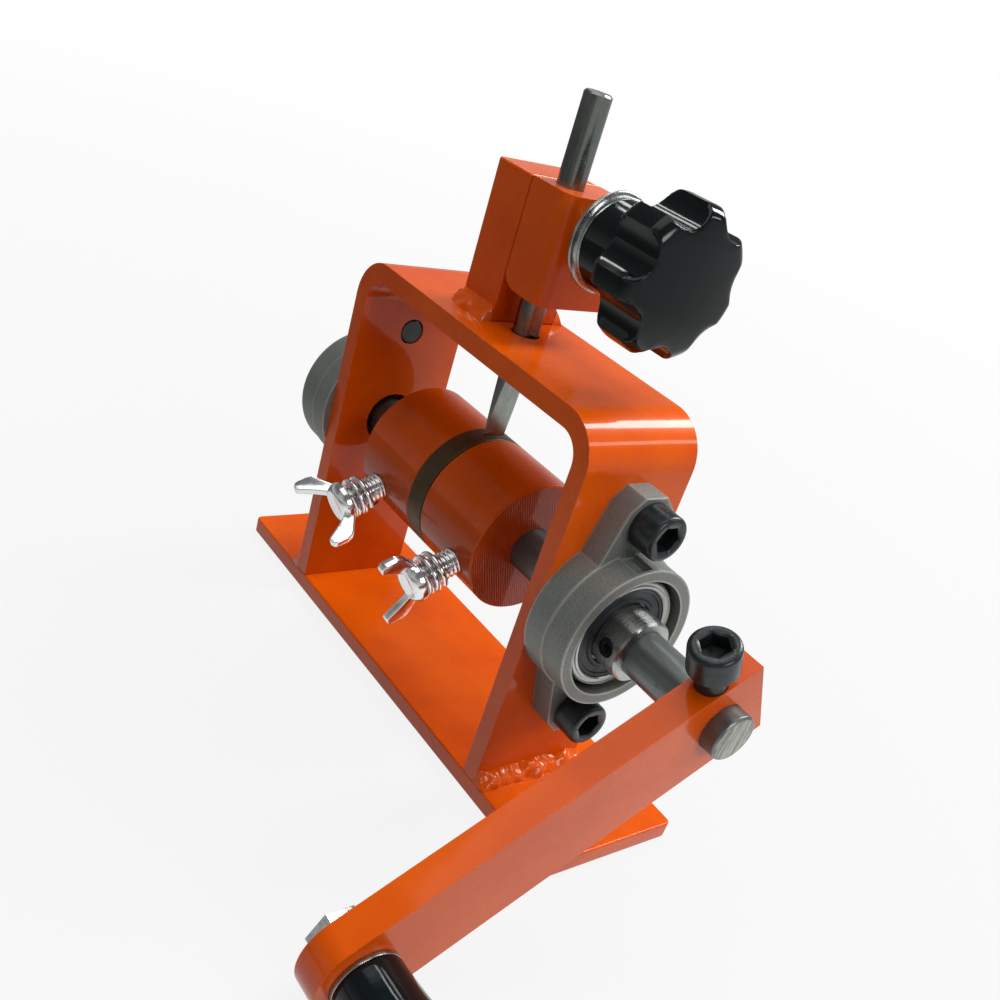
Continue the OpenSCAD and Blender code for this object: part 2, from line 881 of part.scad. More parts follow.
module handle_pin() {
    color(steel)
        on_handle() {
            rod_x_way(pin_r, arm_x - nut_h - turned_chamfer, grip_end - pin_head_h / 2);
            rod_x_way(pin_head_r, grip_end - pin_head_h + grip_gap, grip_end, turned_chamfer);
        }
}

module handle_washer() {
    color(steel)
        on_handle() ring_x_way(pin_r + snug, neck_d / 2, arm_x + arm_t, arm_x + arm_t + washer_t);
}

module handle_nut() {
    color(steel)
        on_handle()
            difference() {
                translate([arm_x - nut_h, 0, 0])
                    rotate([0, 90, 0]) cylinder(d = nut_d, h = nut_h, $fn = 6);
                rod_x_way(pin_r + snug, arm_x - nut_h - over, arm_x + over);
            }
}

belly_share = 0.62;
end_share = 0.93;

module handle_grip() {
    color(black)
        on_handle()
            difference() {
                translate([grip_x, 0, 0])
                    rotate([0, 90, 0])
                        rotate_extrude()
                            polygon(concat(
                                [[0, 0]],
                                [for (i = [0 : 24]) [grip_radius(i / 24), grip_l * i / 24]],
                                [[0, grip_l]]
                            ));
                rod_x_way(pin_r + running, grip_x - over, grip_end + over);
                rod_x_way(pin_head_r + loose, grip_end - pin_head_h, grip_end + over);
            }
}

// Radius of the grip at a share of its length: a slim neck, a belly and a rounded end
function grip_radius(share) =
    share < end_share
    ? neck_d / 2 + (grip_d - neck_d) / 2 * (1 - cos(180 * min(1, share / belly_share))) / 2
    : grip_d / 2 - (grip_d - neck_d) / 4 * (1 - sqrt(1 - pow((share - end_share) / (1 - end_share), 2)));

base_plate();
u_frame();
frame_welds();
clamp_post();
post_welds();
clamp_block();
left_housing();
right_housing();
left_outer_ring();
right_outer_ring();
left_seals();
right_seals();
left_flange_screws();
right_flange_screws();
shaft();
feed_wheel();
left_inner_ring();
right_inner_ring();
left_ring_screw();
right_ring_screw();
crank_arm();
arm_screw();
handle_pin();
handle_washer();
handle_nut();
left_sleeve();
right_sleeve();
left_wing_screw();
right_wing_screw();
left_spring();
right_spring();
left_balls();
right_balls();
left_cage();
right_cage();
blade_rod();
knob_stud();
knob_collar();
star_knob();
handle_grip();
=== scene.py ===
import math

import bmesh
import bpy
from bpy.props import FloatProperty, FloatVectorProperty, IntProperty, PointerProperty
from mathutils import Matrix, Vector, noise


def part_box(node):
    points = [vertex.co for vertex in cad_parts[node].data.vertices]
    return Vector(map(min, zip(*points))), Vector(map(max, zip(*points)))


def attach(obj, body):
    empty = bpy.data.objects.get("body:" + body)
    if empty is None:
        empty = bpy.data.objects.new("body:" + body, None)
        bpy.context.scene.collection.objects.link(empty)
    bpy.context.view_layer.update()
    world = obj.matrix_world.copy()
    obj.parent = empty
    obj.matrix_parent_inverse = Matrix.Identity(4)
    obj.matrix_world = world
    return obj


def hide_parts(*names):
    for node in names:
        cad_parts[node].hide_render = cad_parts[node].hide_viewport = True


bl_info = {
    "name": "Hand crank wire stripper",
    "version": (1, 0, 0),
    "blender": (4, 5, 0),
    "location": "3D View > Sidebar > Wire stripper",
    "description": "Builds the looks of a hand crank wire stripper round its packed frame",
    "category": "Object",
}

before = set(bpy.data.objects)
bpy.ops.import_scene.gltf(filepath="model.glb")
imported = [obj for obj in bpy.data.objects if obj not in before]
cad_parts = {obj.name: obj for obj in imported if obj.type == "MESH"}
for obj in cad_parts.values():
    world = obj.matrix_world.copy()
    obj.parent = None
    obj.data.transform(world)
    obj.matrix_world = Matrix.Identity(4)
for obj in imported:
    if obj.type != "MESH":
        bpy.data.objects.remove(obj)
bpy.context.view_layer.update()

MM = 0.001
TURN = 2 * math.pi

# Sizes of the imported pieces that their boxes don't give
SCREW_RADIUS = 3 * MM
SCREW_HEAD_RADIUS = 4.8 * MM
SCREW_HEAD_HEIGHT = 6 * MM
FLANGE_THICKNESS = 5.8 * MM
ARM_SCREW_SEAT = 13.3 * MM
ARM_SCREW_LENGTH = 8.2 * MM
ARM_SCREW_LEAN = math.radians(-5)
WING_TILT = math.radians(24)
WING_TURNS = {"left": math.radians(163), "right": math.radians(81)}
WING_SCREW_END = 5.3 * MM
WING_HUB_SEAT = 23.79 * MM
WING_HUB_RADIUS = 4.8 * MM
WING_REACH = 9.6 * MM
WING_RISE = 8.5 * MM
WING_THICKNESS = 1.8 * MM
SPRING_SEAT = 19.45 * MM
SPRING_CURLS = 2.05
SEAL_BORE_RADIUS = 7.2 * MM
SEAL_THICKNESS = 0.8 * MM
KNOB_HUB_RADIUS = 8.8 * MM
KNOB_HUB_LENGTH = 11.3 * MM
KNOB_BORE_RADIUS = 3.1 * MM
KNOB_TURN = math.radians(46)

# Fineness of the round shapes
CURL_STEPS = 40
LOBE_STEPS = 28

# Points closer than this are one point
SAME_PLACE = 1e-6


def plain_colour(text):
    """Linear colour with full alpha from the usual six hexadecimal digits."""
    shares = [int(text[i:i + 2], 16) / 255 for i in (1, 3, 5)]
    return [s / 12.92 if s <= 0.04045 else ((s + 0.055) / 1.055) ** 2.4 for s in shares] + [1.0]


def colour_property(name, text, description):
    """A colour that a user may change, with its default given in hexadecimal digits."""
    return FloatVectorProperty(name=name, description=description, subtype="COLOR", size=4, min=0, max=1,
                               default=plain_colour(text))


def length_property(name, millimetres, description):
    """A length that a user may change, with its default given in millimetres."""
    return FloatProperty(name=name, description=description, unit="LENGTH", min=0, default=millimetres * MM)


def power_property(name, watts, description):
    """A lamp's power that a user may change, with its default given in watts."""
    return FloatProperty(name=name, description=description, unit="POWER", min=0, default=watts)


def place_of(node):
    """Middle of a frame node's box."""
    low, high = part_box(node)
    return (low + high) / 2


class StripperFinish(bpy.types.PropertyGroup):
    """Colours and grain sizes of the stripper's finishes."""
    paint: colour_property("Paint", "#D45400", "Colour of the enamel on the frame, the clamp, the sleeves and the arm")
    paint_shade: colour_property("Paint shade", "#C24600", "Colour of the enamel where it lies thick")
    # The sleeves' two enamel colours are the frame's enamel darkened as a painted shade, standing for the shade under
    # the frame's top.
    painted_shade_sleeve_enamel: colour_property("Sleeve enamel in painted shade", "#B44400", "Colour of the enamel darkened as a painted shade on the sleeves")
    painted_shade_sleeve_enamel_thick: colour_property("Sleeve enamel in painted shade, thick", "#A23A00", "Colour of the sleeves' enamel where it lies thick")
    bare_edge: colour_property("Rubbed edge", "#7A3A1C", "Colour where the enamel is rubbed off an edge")
    peel: length_property("Paint ripple", 1.6, "Width of the ripples in the sprayed enamel")
    cast: colour_property("Cast zinc", "#80857F", "Colour of the bearing housings")
    cast_grain: length_property("Cast grain", 0.42, "Size of the casting's grain")
    ground: colour_property("Ground steel", "#A3A5A2", "Colour of the bearing's ground rings")
    seal: colour_property("Seal", "#262E30", "Colour of the bearing's rubber seals")
    oxide: colour_property("Black oxide", "#1B2122", "Colour of the socket head screws")
    shaft: colour_property("Shaft", "#727977", "Colour of the drawn shaft")
    wheel: colour_property("Feed wheel", "#46361F", "Colour of the browned feed wheel")
    zinc: colour_property("Zinc plate", "#E8EAEA", "Colour of the plated wing screws and springs")
    nickel: colour_property("Nickel plate", "#9A9D9B", "Colour of the knob's collar and of the handle's metal")
    blade: colour_property("Blade", "#7F847F", "Colour of the blade rod")
    plastic: colour_property("Knob plastic", "#0A1213", "Colour of the knob and the grip")


class StripperShape(bpy.types.PropertyGroup):
    """Sizes of the pieces that are modelled in more detail than the frame's own."""
    edge_round: length_property("Edge rounding", 0.5, "Rounding of the painted bar's edges")
    cast_round: length_property("Casting rounding", 0.5, "Rounding of the castings' edges")
    weld_step: length_property("Weld ripple", 1.5, "Distance from one ripple of a weld bead to the next")
    thread_pitch: length_property("Thread pitch", 1.0, "Pitch of the wing screws' threads")
    thread_depth: length_property("Thread depth", 0.5, "Depth of the wing screws' threads")
    wire: length_property("Spring wire", 1.2, "Thickness of the springs' wire")
    coil_radius: length_property("Spring radius", 3.9, "Radius of the springs' centre line")
    coil_pitch: length_property("Spring pitch", 1.75, "Climb of a spring for each curl")
    socket: length_property("Hexagon socket", 5.0, "Width of the socket head screws' hexagon across its flats")
    knob_radius: length_property("Knob radius", 14.2, "Radius of the knob's lobes")
    flute_radius: length_property("Flute radius", 4.8, "Radius of the flutes between the knob's lobes")
    flute_depth: length_property("Flute depth", 3.3, "Depth of the flutes between the knob's lobes")
    lobes: IntProperty(name="Lobes", description="Number of lobes round the knob", min=3, default=7)


class StripperStage(bpy.types.PropertyGroup):
    """Camera, lamps and floor."""
    camera_place: FloatVectorProperty(name="Camera place", description="Where the camera stands", unit="LENGTH",
                                      subtype="TRANSLATION", default=(0.16198, -0.14518, 0.15205))
    azimuth: FloatProperty(name="Azimuth", description="Turn of the view about the upright", unit="ROTATION",
                           default=math.radians(44.05))
    elevation: FloatProperty(name="Elevation", description="Height of the view above the horizon", unit="ROTATION",
                             default=math.radians(31.09))
    roll: FloatProperty(name="Roll", description="Turn of the camera about its own line of sight", unit="ROTATION",
                        default=math.radians(19.24))
    lens: FloatProperty(name="Lens", description="Focal length of the camera", unit="CAMERA",
                        default=38.25)
    shift: FloatVectorProperty(name="Shift", description="Shift of the lens", size=2, default=(-0.005, 0.12))
    floor: colour_property("Floor", "#A0A0A0", "Colour of the floor")
    top_power: power_property("Top lamp", 1.6, "Power of the softbox over the object")
    side_power: power_property("Side lamp", 1.8, "Power of the softbox on the crank's side")
    front_power: power_property("Front lamp", 0.25, "Power of the softbox in front")
    window_power: power_property("Window lamp", 7.5, "Power of the wide strip behind")
    tube_power: power_property("Tube lamp", 0.7, "Power of the narrow strip behind")
    left_power: power_property("Left lamp", 0.8, "Power of each strip on the left")
    world_light: FloatProperty(name="Room light", description="Strength of the light from the room's bright side",
                               default=1.05)
    ceiling: FloatProperty(name="Ceiling", description="Brightness of the room overhead, as gloss mirrors it",
                           default=0.14)


# Materials

def add(tree, kind, inputs=None, **options):
    """Adds a node with its settings. An input is a value, an output to link to, or a node for its first output."""
    made = tree.nodes.new(kind)
    for key, value in options.items():
        setattr(made, key, value)
    for key, value in (inputs or {}).items():
        if isinstance(value, bpy.types.Node):
            value = value.outputs[0]
        if isinstance(value, bpy.types.NodeSocket):
            tree.links.new(value, made.inputs[key])
        else:
            made.inputs[key].default_value = value
    return made


def start_material(name):
    """A new material and its emptied tree."""
    material = bpy.data.materials.new(name)
    material.use_nodes = True
    material.node_tree.nodes.clear()
    return material, material.node_tree


def object_place(tree, centre=(0, 0, 0), turn=(0, 0, 0), stretch=(1, 1, 1)):
    """Object coordinates in metres, measured from a centre, turned and stretched."""
    coordinates = add(tree, "ShaderNodeTexCoord").outputs["Object"]
    centred = add(tree, "ShaderNodeMapping", {"Vector": coordinates, "Location": [-c for c in centre]})
    return add(tree, "ShaderNodeMapping", {"Vector": centred, "Rotation": turn, "Scale": stretch})


def edge_share(tree, radius):
    """One on sharp edges and nought on flat ground, from normals smoothed over the radius."""
    rounded = add(tree, "ShaderNodeBevel", {"Radius": radius}, samples=6)
    true = add(tree, "ShaderNodeNewGeometry").outputs["Normal"]
    match = add(tree, "ShaderNodeVectorMath", {0: rounded, 1: true}, operation="DOT_PRODUCT").outputs["Value"]
    return add(tree, "ShaderNodeMapRange", {"Value": match, "From Min": 0.995, "From Max": 0.9})


def end_face_share(tree):
    """One on faces that look along the shaft and nought on the rest."""
    normal = add(tree, "ShaderNodeTexCoord").outputs["Normal"]
    along = add(tree, "ShaderNodeMath", {0: add(tree, "ShaderNodeSeparateXYZ", {0: normal})}, operation="ABSOLUTE")
    return add(tree, "ShaderNodeMapRange", {"Value": along, "From Min": 0.9, "From Max": 0.97})


# Sockets 0, 6 and 7 of a Mix node are its share and its two colours, and output 2 is the colour that it gives

def enamel(name, look, turned_sleeve_in_painted_shade=False):
    """Orange enamel sprayed thickly on steel: glossy with a soft ripple, lighter on rubbed edges."""
    material, tree = start_material(name)
    place = object_place(tree)
    # On the sleeves the enamel takes darker colours, a painted shade for the shade under the frame's top; the turning
    # marks there are real.
    light, dark = (look.painted_shade_sleeve_enamel, look.painted_shade_sleeve_enamel_thick) if turned_sleeve_in_painted_shade else (look.paint, look.paint_shade)
    cloud = add(tree, "ShaderNodeTexNoise", {"Vector": place, "Scale": 1 / (22 * MM), "Detail": 3})
    share = add(tree, "ShaderNodeMapRange", {"Value": cloud, "From Min": 0.4, "From Max": 0.7})
    thick = add(tree, "ShaderNodeMix", {0: share, 6: light, 7: dark}, data_type="RGBA").outputs[2]
    fine = add(tree, "ShaderNodeTexNoise", {"Vector": place, "Scale": 1 / (3.2 * MM), "Detail": 4, "Roughness": 0.6})
    share = add(tree, "ShaderNodeMapRange", {"Value": fine, "From Min": 0.58, "From Max": 0.72, "To Max": 0.15})
    mottled = add(tree, "ShaderNodeMix", {0: share, 6: thick, 7: dark}, data_type="RGBA").outputs[2]
    chips = add(tree, "ShaderNodeTexNoise", {"Vector": place, "Scale": 1 / (1.5 * MM), "Detail": 5, "Roughness": 0.65})
    nick = add(tree, "ShaderNodeMapRange", {"Value": chips, "From Min": 0.6, "From Max": 0.66})
    worn = add(tree, "ShaderNodeMath", {0: edge_share(tree, 0.5 * MM), 1: nick}, operation="MULTIPLY")
    rubbed = add(tree, "ShaderNodeMix", {0: worn, 6: mottled, 7: look.bare_edge}, data_type="RGBA").outputs[2]
    dirt = add(tree, "ShaderNodeTexNoise", {"Vector": place, "Scale": 1 / (5.5 * MM), "Detail": 6, "Roughness": 0.75})
    speck = add(tree, "ShaderNodeMapRange", {"Value": dirt, "From Min": 0.76, "From Max": 0.775, "To Max": 0.8})
    colour = add(tree, "ShaderNodeMix", {0: speck, 6: rubbed, 7: plain_colour("#4A1E0C")},
                 data_type="RGBA").outputs[2]
    lumps = add(tree, "ShaderNodeTexNoise", {"Vector": place, "Scale": 1 / (9 * MM), "Detail": 1})
    normal = add(tree, "ShaderNodeBump", {"Height": lumps, "Distance": 0.04 * MM})
    ripple = add(tree, "ShaderNodeTexNoise", {"Vector": place, "Scale": 1 / look.peel, "Detail": 1.5})
    rippled = add(tree, "ShaderNodeBump", {"Height": ripple, "Distance": 0.002 * MM, "Normal": normal})
    if turned_sleeve_in_painted_shade:
        normal, colour = turning_marks(tree, colour, normal)
    rough = add(tree, "ShaderNodeMapRange",
                {"Value": fine, "From Min": 0.3, "From Max": 0.7, "To Min": 0.22, "To Max": 0.36})
    surface = add(tree, "ShaderNodeBsdfPrincipled", {
        "Base Color": colour, "Roughness": rough, "Normal": normal, "IOR": 1.5, "Specular IOR Level": 0.08,
        "Coat Weight": 0.42, "Coat Roughness": 0.06, "Coat Normal": rippled})
    add(tree, "ShaderNodeOutputMaterial", {"Surface": surface})
    return material


def turning_marks(tree, colour, normal):
    """Ridges that the lathe left on a sleeve's end, as seen through its paint, with the colour in them darker.

    They are drawn 0.62 mm apart, coarser than a lathe leaves them, so that they show."""
    shaft = place_of("shaft")
    place = object_place(tree, (0, shaft.y, shaft.z))
    parts = add(tree, "ShaderNodeSeparateXYZ", {0: place})
    slant = add(tree, "ShaderNodeMath", {0: parts.outputs[2], 1: 0.35}, operation="MULTIPLY")
    across = add(tree, "ShaderNodeMath", {0: parts.outputs[1], 1: slant}, operation="ADD")
    drift = add(tree, "ShaderNodeTexNoise", {"Vector": place, "Scale": 1 / (3 * MM), "Detail": 3})
    wobble = add(tree, "ShaderNodeMath", {0: drift, 1: 0.9 * MM}, operation="MULTIPLY")
    bent = add(tree, "ShaderNodeMath", {0: across, 1: wobble}, operation="ADD")
    angle = add(tree, "ShaderNodeMath", {0: bent, 1: TURN / (0.62 * MM)}, operation="MULTIPLY")
    wave = add(tree, "ShaderNodeMath", {0: angle}, operation="SINE")
    gaps = add(tree, "ShaderNodeTexNoise", {"Vector": object_place(tree, stretch=(1, 1, 0.2)),
                                            "Scale": 1 / (0.8 * MM), "Detail": 3})
    broken = add(tree, "ShaderNodeMapRange", {"Value": gaps, "From Min": 0.35, "From Max": 0.65})
    ridge = add(tree, "ShaderNodeMath", {0: wave, 1: broken}, operation="MULTIPLY")
    ridge = add(tree, "ShaderNodeMath", {0: ridge, 1: end_face_share(tree)}, operation="MULTIPLY")
    share = add(tree, "ShaderNodeMapRange", {"Value": ridge, "From Min": 0.1, "From Max": 0.9, "To Max": 0.3})
    shaded = add(tree, "ShaderNodeMix", {0: share, 6: colour, 7: plain_colour("#6A2A14")},
                 data_type="RGBA").outputs[2]
    return add(tree, "ShaderNodeBump", {"Height": ridge, "Distance": 0.05 * MM, "Normal": normal}), shaded


def cast_zinc(look):
    """Die-cast zinc of the bearing housings: dull grey with a fine sandy grain, and smoother rubbed rims that are also
    painted lighter as a highlight.
    """
    material, tree = start_material("die_cast_zinc")
    place = object_place(tree)
    grain = add(tree, "ShaderNodeTexNoise",
                {"Vector": place, "Scale": 1 / look.cast_grain, "Detail": 4, "Roughness": 0.6})
    stain = add(tree, "ShaderNodeTexNoise", {"Vector": place, "Scale": 1 / (7 * MM), "Detail": 4, "Roughness": 0.6})
    share = add(tree, "ShaderNodeMapRange", {"Value": stain, "From Min": 0.45, "From Max": 0.75, "To Max": 0.5})
    dark = add(tree, "ShaderNodeMix", {0: share, 6: look.cast, 7: plain_colour("#82827F")},
               data_type="RGBA").outputs[2]
    share = add(tree, "ShaderNodeMapRange", {"Value": grain, "From Min": 0.35, "From Max": 0.7, "To Max": 0.75})
    pitted = add(tree, "ShaderNodeMix", {0: share, 6: dark, 7: plain_colour("#646763")}, data_type="RGBA").outputs[2]
    # Rims: smoother where rubbed, and painted lighter in colour as a painted highlight.
    rubbed = edge_share(tree, 0.9 * MM)
    share = add(tree, "ShaderNodeMath", {0: rubbed, 1: 0.6}, operation="MULTIPLY")
    colour = add(tree, "ShaderNodeMix", {0: share, 6: pitted, 7: plain_colour("#C2C2BE")},
                 data_type="RGBA").outputs[2]
    rough = add(tree, "ShaderNodeMapRange",
                {"Value": rubbed, "From Min": 0, "From Max": 1, "To Min": 0.52, "To Max": 0.34})
    uneven = add(tree, "ShaderNodeBump", {"Height": stain, "Distance": 0.1 * MM})
    sandy = add(tree, "ShaderNodeBump", {"Height": grain, "Distance": 0.07 * MM, "Normal": uneven})
    surface = add(tree, "ShaderNodeBsdfPrincipled",
                  {"Base Color": colour, "Metallic": 0.5, "Roughness": rough, "Normal": sandy})
    add(tree, "ShaderNodeOutputMaterial", {"Surface": surface})
    return material


def ground_steel(name, base, rough, line=0.18 * MM, stretch=(1, 0.03, 0.03), depth=0.004 * MM, round_axis=None):
    """Ground steel: bright, with fine lines left by the wheel, which draw its glints out across a round piece.

    The lines are drawn coarser than a grinding wheel leaves them, so that they show."""
    material, tree = start_material(name)
    lines = add(tree, "ShaderNodeTexNoise",
                {"Vector": object_place(tree, stretch=stretch), "Scale": 1 / line, "Detail": 3, "Roughness": 0.6})
    cloud = add(tree, "ShaderNodeTexNoise", {"Vector": object_place(tree), "Scale": 1 / (3 * MM), "Detail": 3})
    share = add(tree, "ShaderNodeMapRange", {"Value": cloud, "From Min": 0.4, "From Max": 0.75, "To Max": 0.45})
    darker = [c * 0.55 for c in base[:3]] + [1]
    colour = add(tree, "ShaderNodeMix", {0: share, 6: base, 7: darker}, data_type="RGBA").outputs[2]
    haze = add(tree, "ShaderNodeMapRange",
               {"Value": lines, "From Min": 0.3, "From Max": 0.7, "To Min": rough * 0.75, "To Max": rough * 1.35})
    normal = add(tree, "ShaderNodeBump", {"Height": lines, "Distance": depth})
    inputs = {"Base Color": colour, "Metallic": 1.0, "Roughness": haze, "Normal": normal}
    if round_axis:
        tangent = add(tree, "ShaderNodeTangent", direction_type="RADIAL", axis=round_axis)
        inputs.update({"Tangent": tangent, "Anisotropic": 0.92, "Anisotropic Rotation": 0.25})
    surface = add(tree, "ShaderNodeBsdfPrincipled", inputs)
    add(tree, "ShaderNodeOutputMaterial", {"Surface": surface})
    return material


def drawn_shaft(look):
    """Cold drawn steel bar: dull grey with streaks along it, and saw marks across its cut ends."""
    material, tree = start_material("cold_drawn_steel")
    streaks = add(tree, "ShaderNodeTexNoise", {"Vector": object_place(tree, stretch=(0.05, 1, 1)),
                                               "Scale": 1 / (0.5 * MM), "Detail": 4, "Roughness": 0.6})
    slanted = object_place(tree, turn=(math.radians(28), 0, 0), stretch=(1, 1, 0.08))
    cuts = add(tree, "ShaderNodeTexNoise",
               {"Vector": slanted, "Scale": 1 / (0.45 * MM), "Detail": 3, "Roughness": 0.6})
    rust = add(tree, "ShaderNodeTexNoise",
               {"Vector": object_place(tree), "Scale": 1 / (2.2 * MM), "Detail": 5, "Roughness": 0.7})
    ends = end_face_share(tree)
    share = add(tree, "ShaderNodeMapRange", {"Value": streaks, "From Min": 0.35, "From Max": 0.7, "To Max": 0.6})
    body = add(tree, "ShaderNodeMix", {0: share, 6: look.shaft, 7: plain_colour("#5C6361")},
               data_type="RGBA").outputs[2]
    spots = add(tree, "ShaderNodeMapRange", {"Value": rust, "From Min": 0.62, "From Max": 0.72, "To Max": 0.5})
    body = add(tree, "ShaderNodeMix", {0: spots, 6: body, 7: plain_colour("#35302B")}, data_type="RGBA").outputs[2]
    share = add(tree, "ShaderNodeMapRange", {"Value": cuts, "From Min": 0.35, "From Max": 0.65})
    cut = add(tree, "ShaderNodeMix", {0: share, 6: plain_colour("#A9A9A2"), 7: plain_colour("#5E605C")},
              data_type="RGBA").outputs[2]
    colour = add(tree, "ShaderNodeMix", {0: ends, 6: body, 7: cut}, data_type="RGBA").outputs[2]
    rough = add(tree, "ShaderNodeMapRange",
                {"Value": streaks, "From Min": 0.3, "From Max": 0.7, "To Min": 0.3, "To Max": 0.46})
    sides = add(tree, "ShaderNodeMath", {0: 1.0, 1: ends}, operation="SUBTRACT")
    drawn = add(tree, "ShaderNodeMath", {0: streaks, 1: sides}, operation="MULTIPLY")
    sawn = add(tree, "ShaderNodeMath", {0: cuts, 1: ends}, operation="MULTIPLY")
    height = add(tree, "ShaderNodeMath", {0: sawn, 1: drawn}, operation="ADD")
    normal = add(tree, "ShaderNodeBump", {"Height": height, "Distance": 0.012 * MM})
    surface = add(tree, "ShaderNodeBsdfPrincipled",
                  {"Base Color": colour, "Metallic": 0.9, "Roughness": rough, "Normal": normal})
    add(tree, "ShaderNodeOutputMaterial", {"Surface": surface})
    return material


def dull_black(name, base, rough, grain, depth, metallic, spot=None):
    """Blackened or browned steel: nearly black, slightly uneven, with a soft sheen."""
    material, tree = start_material(name)
    place = object_place(tree)
    cloud = add(tree, "ShaderNodeTexNoise", {"Vector": place, "Scale": 1 / (2.5 * MM), "Detail": 4, "Roughness": 0.6})
    fine = add(tree, "ShaderNodeTexNoise", {"Vector": place, "Scale": 1 / grain, "Detail": 3, "Roughness": 0.6})
    lighter = spot or [min(1, c * 2.4 + 0.01) for c in base[:3]] + [1]
    share = add(tree, "ShaderNodeMapRange", {"Value": cloud, "From Min": 0.45, "From Max": 0.75, "To Max": 0.7})
    colour = add(tree, "ShaderNodeMix", {0: share, 6: base, 7: lighter}, data_type="RGBA").outputs[2]
    haze = add(tree, "ShaderNodeMapRange",
               {"Value": fine, "From Min": 0.3, "From Max": 0.7, "To Min": rough * 0.85, "To Max": rough * 1.2})
    normal = add(tree, "ShaderNodeBump", {"Height": fine, "Distance": depth})
    surface = add(tree, "ShaderNodeBsdfPrincipled",
                  {"Base Color": colour, "Metallic": metallic, "Roughness": haze, "Normal": normal})
    add(tree, "ShaderNodeOutputMaterial", {"Surface": surface})
    return material


def plated(name, base, rough):
    """Zinc or nickel plate on a pressed or cast piece: bright, with slight waves and a thin haze."""
    material, tree = start_material(name)
    place = object_place(tree)
    waves = add(tree, "ShaderNodeTexNoise", {"Vector": place, "Scale": 1 / (1.8 * MM), "Detail": 2})
    film = add(tree, "ShaderNodeTexNoise", {"Vector": place, "Scale": 1 / (0.6 * MM), "Detail": 4, "Roughness": 0.65})
    share = add(tree, "ShaderNodeMapRange", {"Value": film, "From Min": 0.5, "From Max": 0.75, "To Max": 0.25})
    colour = add(tree, "ShaderNodeMix", {0: share, 6: base, 7: plain_colour("#8E918F")}, data_type="RGBA").outputs[2]
    haze = add(tree, "ShaderNodeMapRange",
               {"Value": film, "From Min": 0.35, "From Max": 0.7, "To Min": rough, "To Max": rough * 1.6})
    fine = add(tree, "ShaderNodeBump", {"Height": film, "Distance": 0.003 * MM})
    normal = add(tree, "ShaderNodeBump", {"Height": waves, "Distance": 0.04 * MM, "Normal": fine})
    surface = add(tree, "ShaderNodeBsdfPrincipled",
                  {"Base Color": colour, "Metallic": 1.0, "Roughness": haze, "Normal": normal})
    add(tree, "ShaderNodeOutputMaterial", {"Surface": surface})
    return material


def moulded_plastic(look):
    """Black thermoset plastic from a polished mould: deep gloss with faint waves and a few dust specks."""
    material, tree = start_material("black_thermoset_plastic")
    place = object_place(tree)
    waves = add(tree, "ShaderNodeTexNoise", {"Vector": place, "Scale": 1 / (5 * MM), "Detail": 2})
    dust = add(tree, "ShaderNodeTexNoise", {"Vector": place, "Scale": 1 / (0.7 * MM), "Detail": 4, "Roughness": 0.7})
    handled = add(tree, "ShaderNodeTexNoise", {"Vector": place, "Scale": 1 / (8 * MM), "Detail": 3})
    share = add(tree, "ShaderNodeMapRange", {"Value": dust, "From Min": 0.66, "From Max": 0.74, "To Max": 0.35})
    colour = add(tree, "ShaderNodeMix", {0: share, 6: look.plastic, 7: plain_colour("#4B5352")},
                 data_type="RGBA").outputs[2]
    rough = add(tree, "ShaderNodeMapRange",
                {"Value": handled, "From Min": 0.35, "From Max": 0.7, "To Min": 0.07, "To Max": 0.16})
    normal = add(tree, "ShaderNodeBump", {"Height": waves, "Distance": 0.05 * MM})
    surface = add(tree, "ShaderNodeBsdfPrincipled",
                  {"Base Color": colour, "Roughness": rough, "Normal": normal, "IOR": 1.36})
    add(tree, "ShaderNodeOutputMaterial", {"Surface": surface})
    return material


def seal_rubber(look):
    """Moulded nitrile rubber of the seals: dull dark grey-green with a fine mould grain."""
    material, tree = start_material("nitrile_rubber")
    place = object_place(tree)
    grain = add(tree, "ShaderNodeTexNoise", {"Vector": place, "Scale": 1 / (0.25 * MM), "Detail": 3})
    film = add(tree, "ShaderNodeTexNoise", {"Vector": place, "Scale": 1 / (4 * MM), "Detail": 3})
    share = add(tree, "ShaderNodeMapRange", {"Value": film, "From Min": 0.4, "From Max": 0.7})
    colour = add(tree, "ShaderNodeMix", {0: share, 6: look.seal, 7: plain_colour("#1E2527")},
                 data_type="RGBA").outputs[2]
    rough = add(tree, "ShaderNodeMapRange",
                {"Value": film, "From Min": 0.3, "From Max": 0.7, "To Min": 0.38, "To Max": 0.55})
    normal = add(tree, "ShaderNodeBump", {"Height": grain, "Distance": 0.01 * MM})
    surface = add(tree, "ShaderNodeBsdfPrincipled",
                  {"Base Color": colour, "Roughness": rough, "Normal": normal, "Specular IOR Level": 0.3})
    add(tree, "ShaderNodeOutputMaterial", {"Surface": surface})
    return material


# Mesh helpers

def turned(bm, outline, steps=96):
    """Turns an outline of (radius, height) points a full turn about Z, as a lathe would."""
    points = [bm.verts.new((r, 0, z)) for r, z in outline]
    lines = [bm.edges.new(pair) for pair in zip(points, points[1:])]
    bmesh.ops.spin(bm, geom=points + lines, cent=(0, 0, 0), axis=(0, 0, 1), angle=TURN, steps=steps, use_merge=True)
    bmesh.ops.remove_doubles(bm, verts=bm.verts, dist=SAME_PLACE)


def arc(centre, radius, start, end, steps):
    """Points of an arc in an outline, with angles in degrees from the radius direction."""
    return [(centre[0] + radius * math.cos(math.radians(start + (end - start) * i / steps)),
             centre[1] + radius * math.sin(math.radians(start + (end - start) * i / steps))) for i in range(steps + 1)]


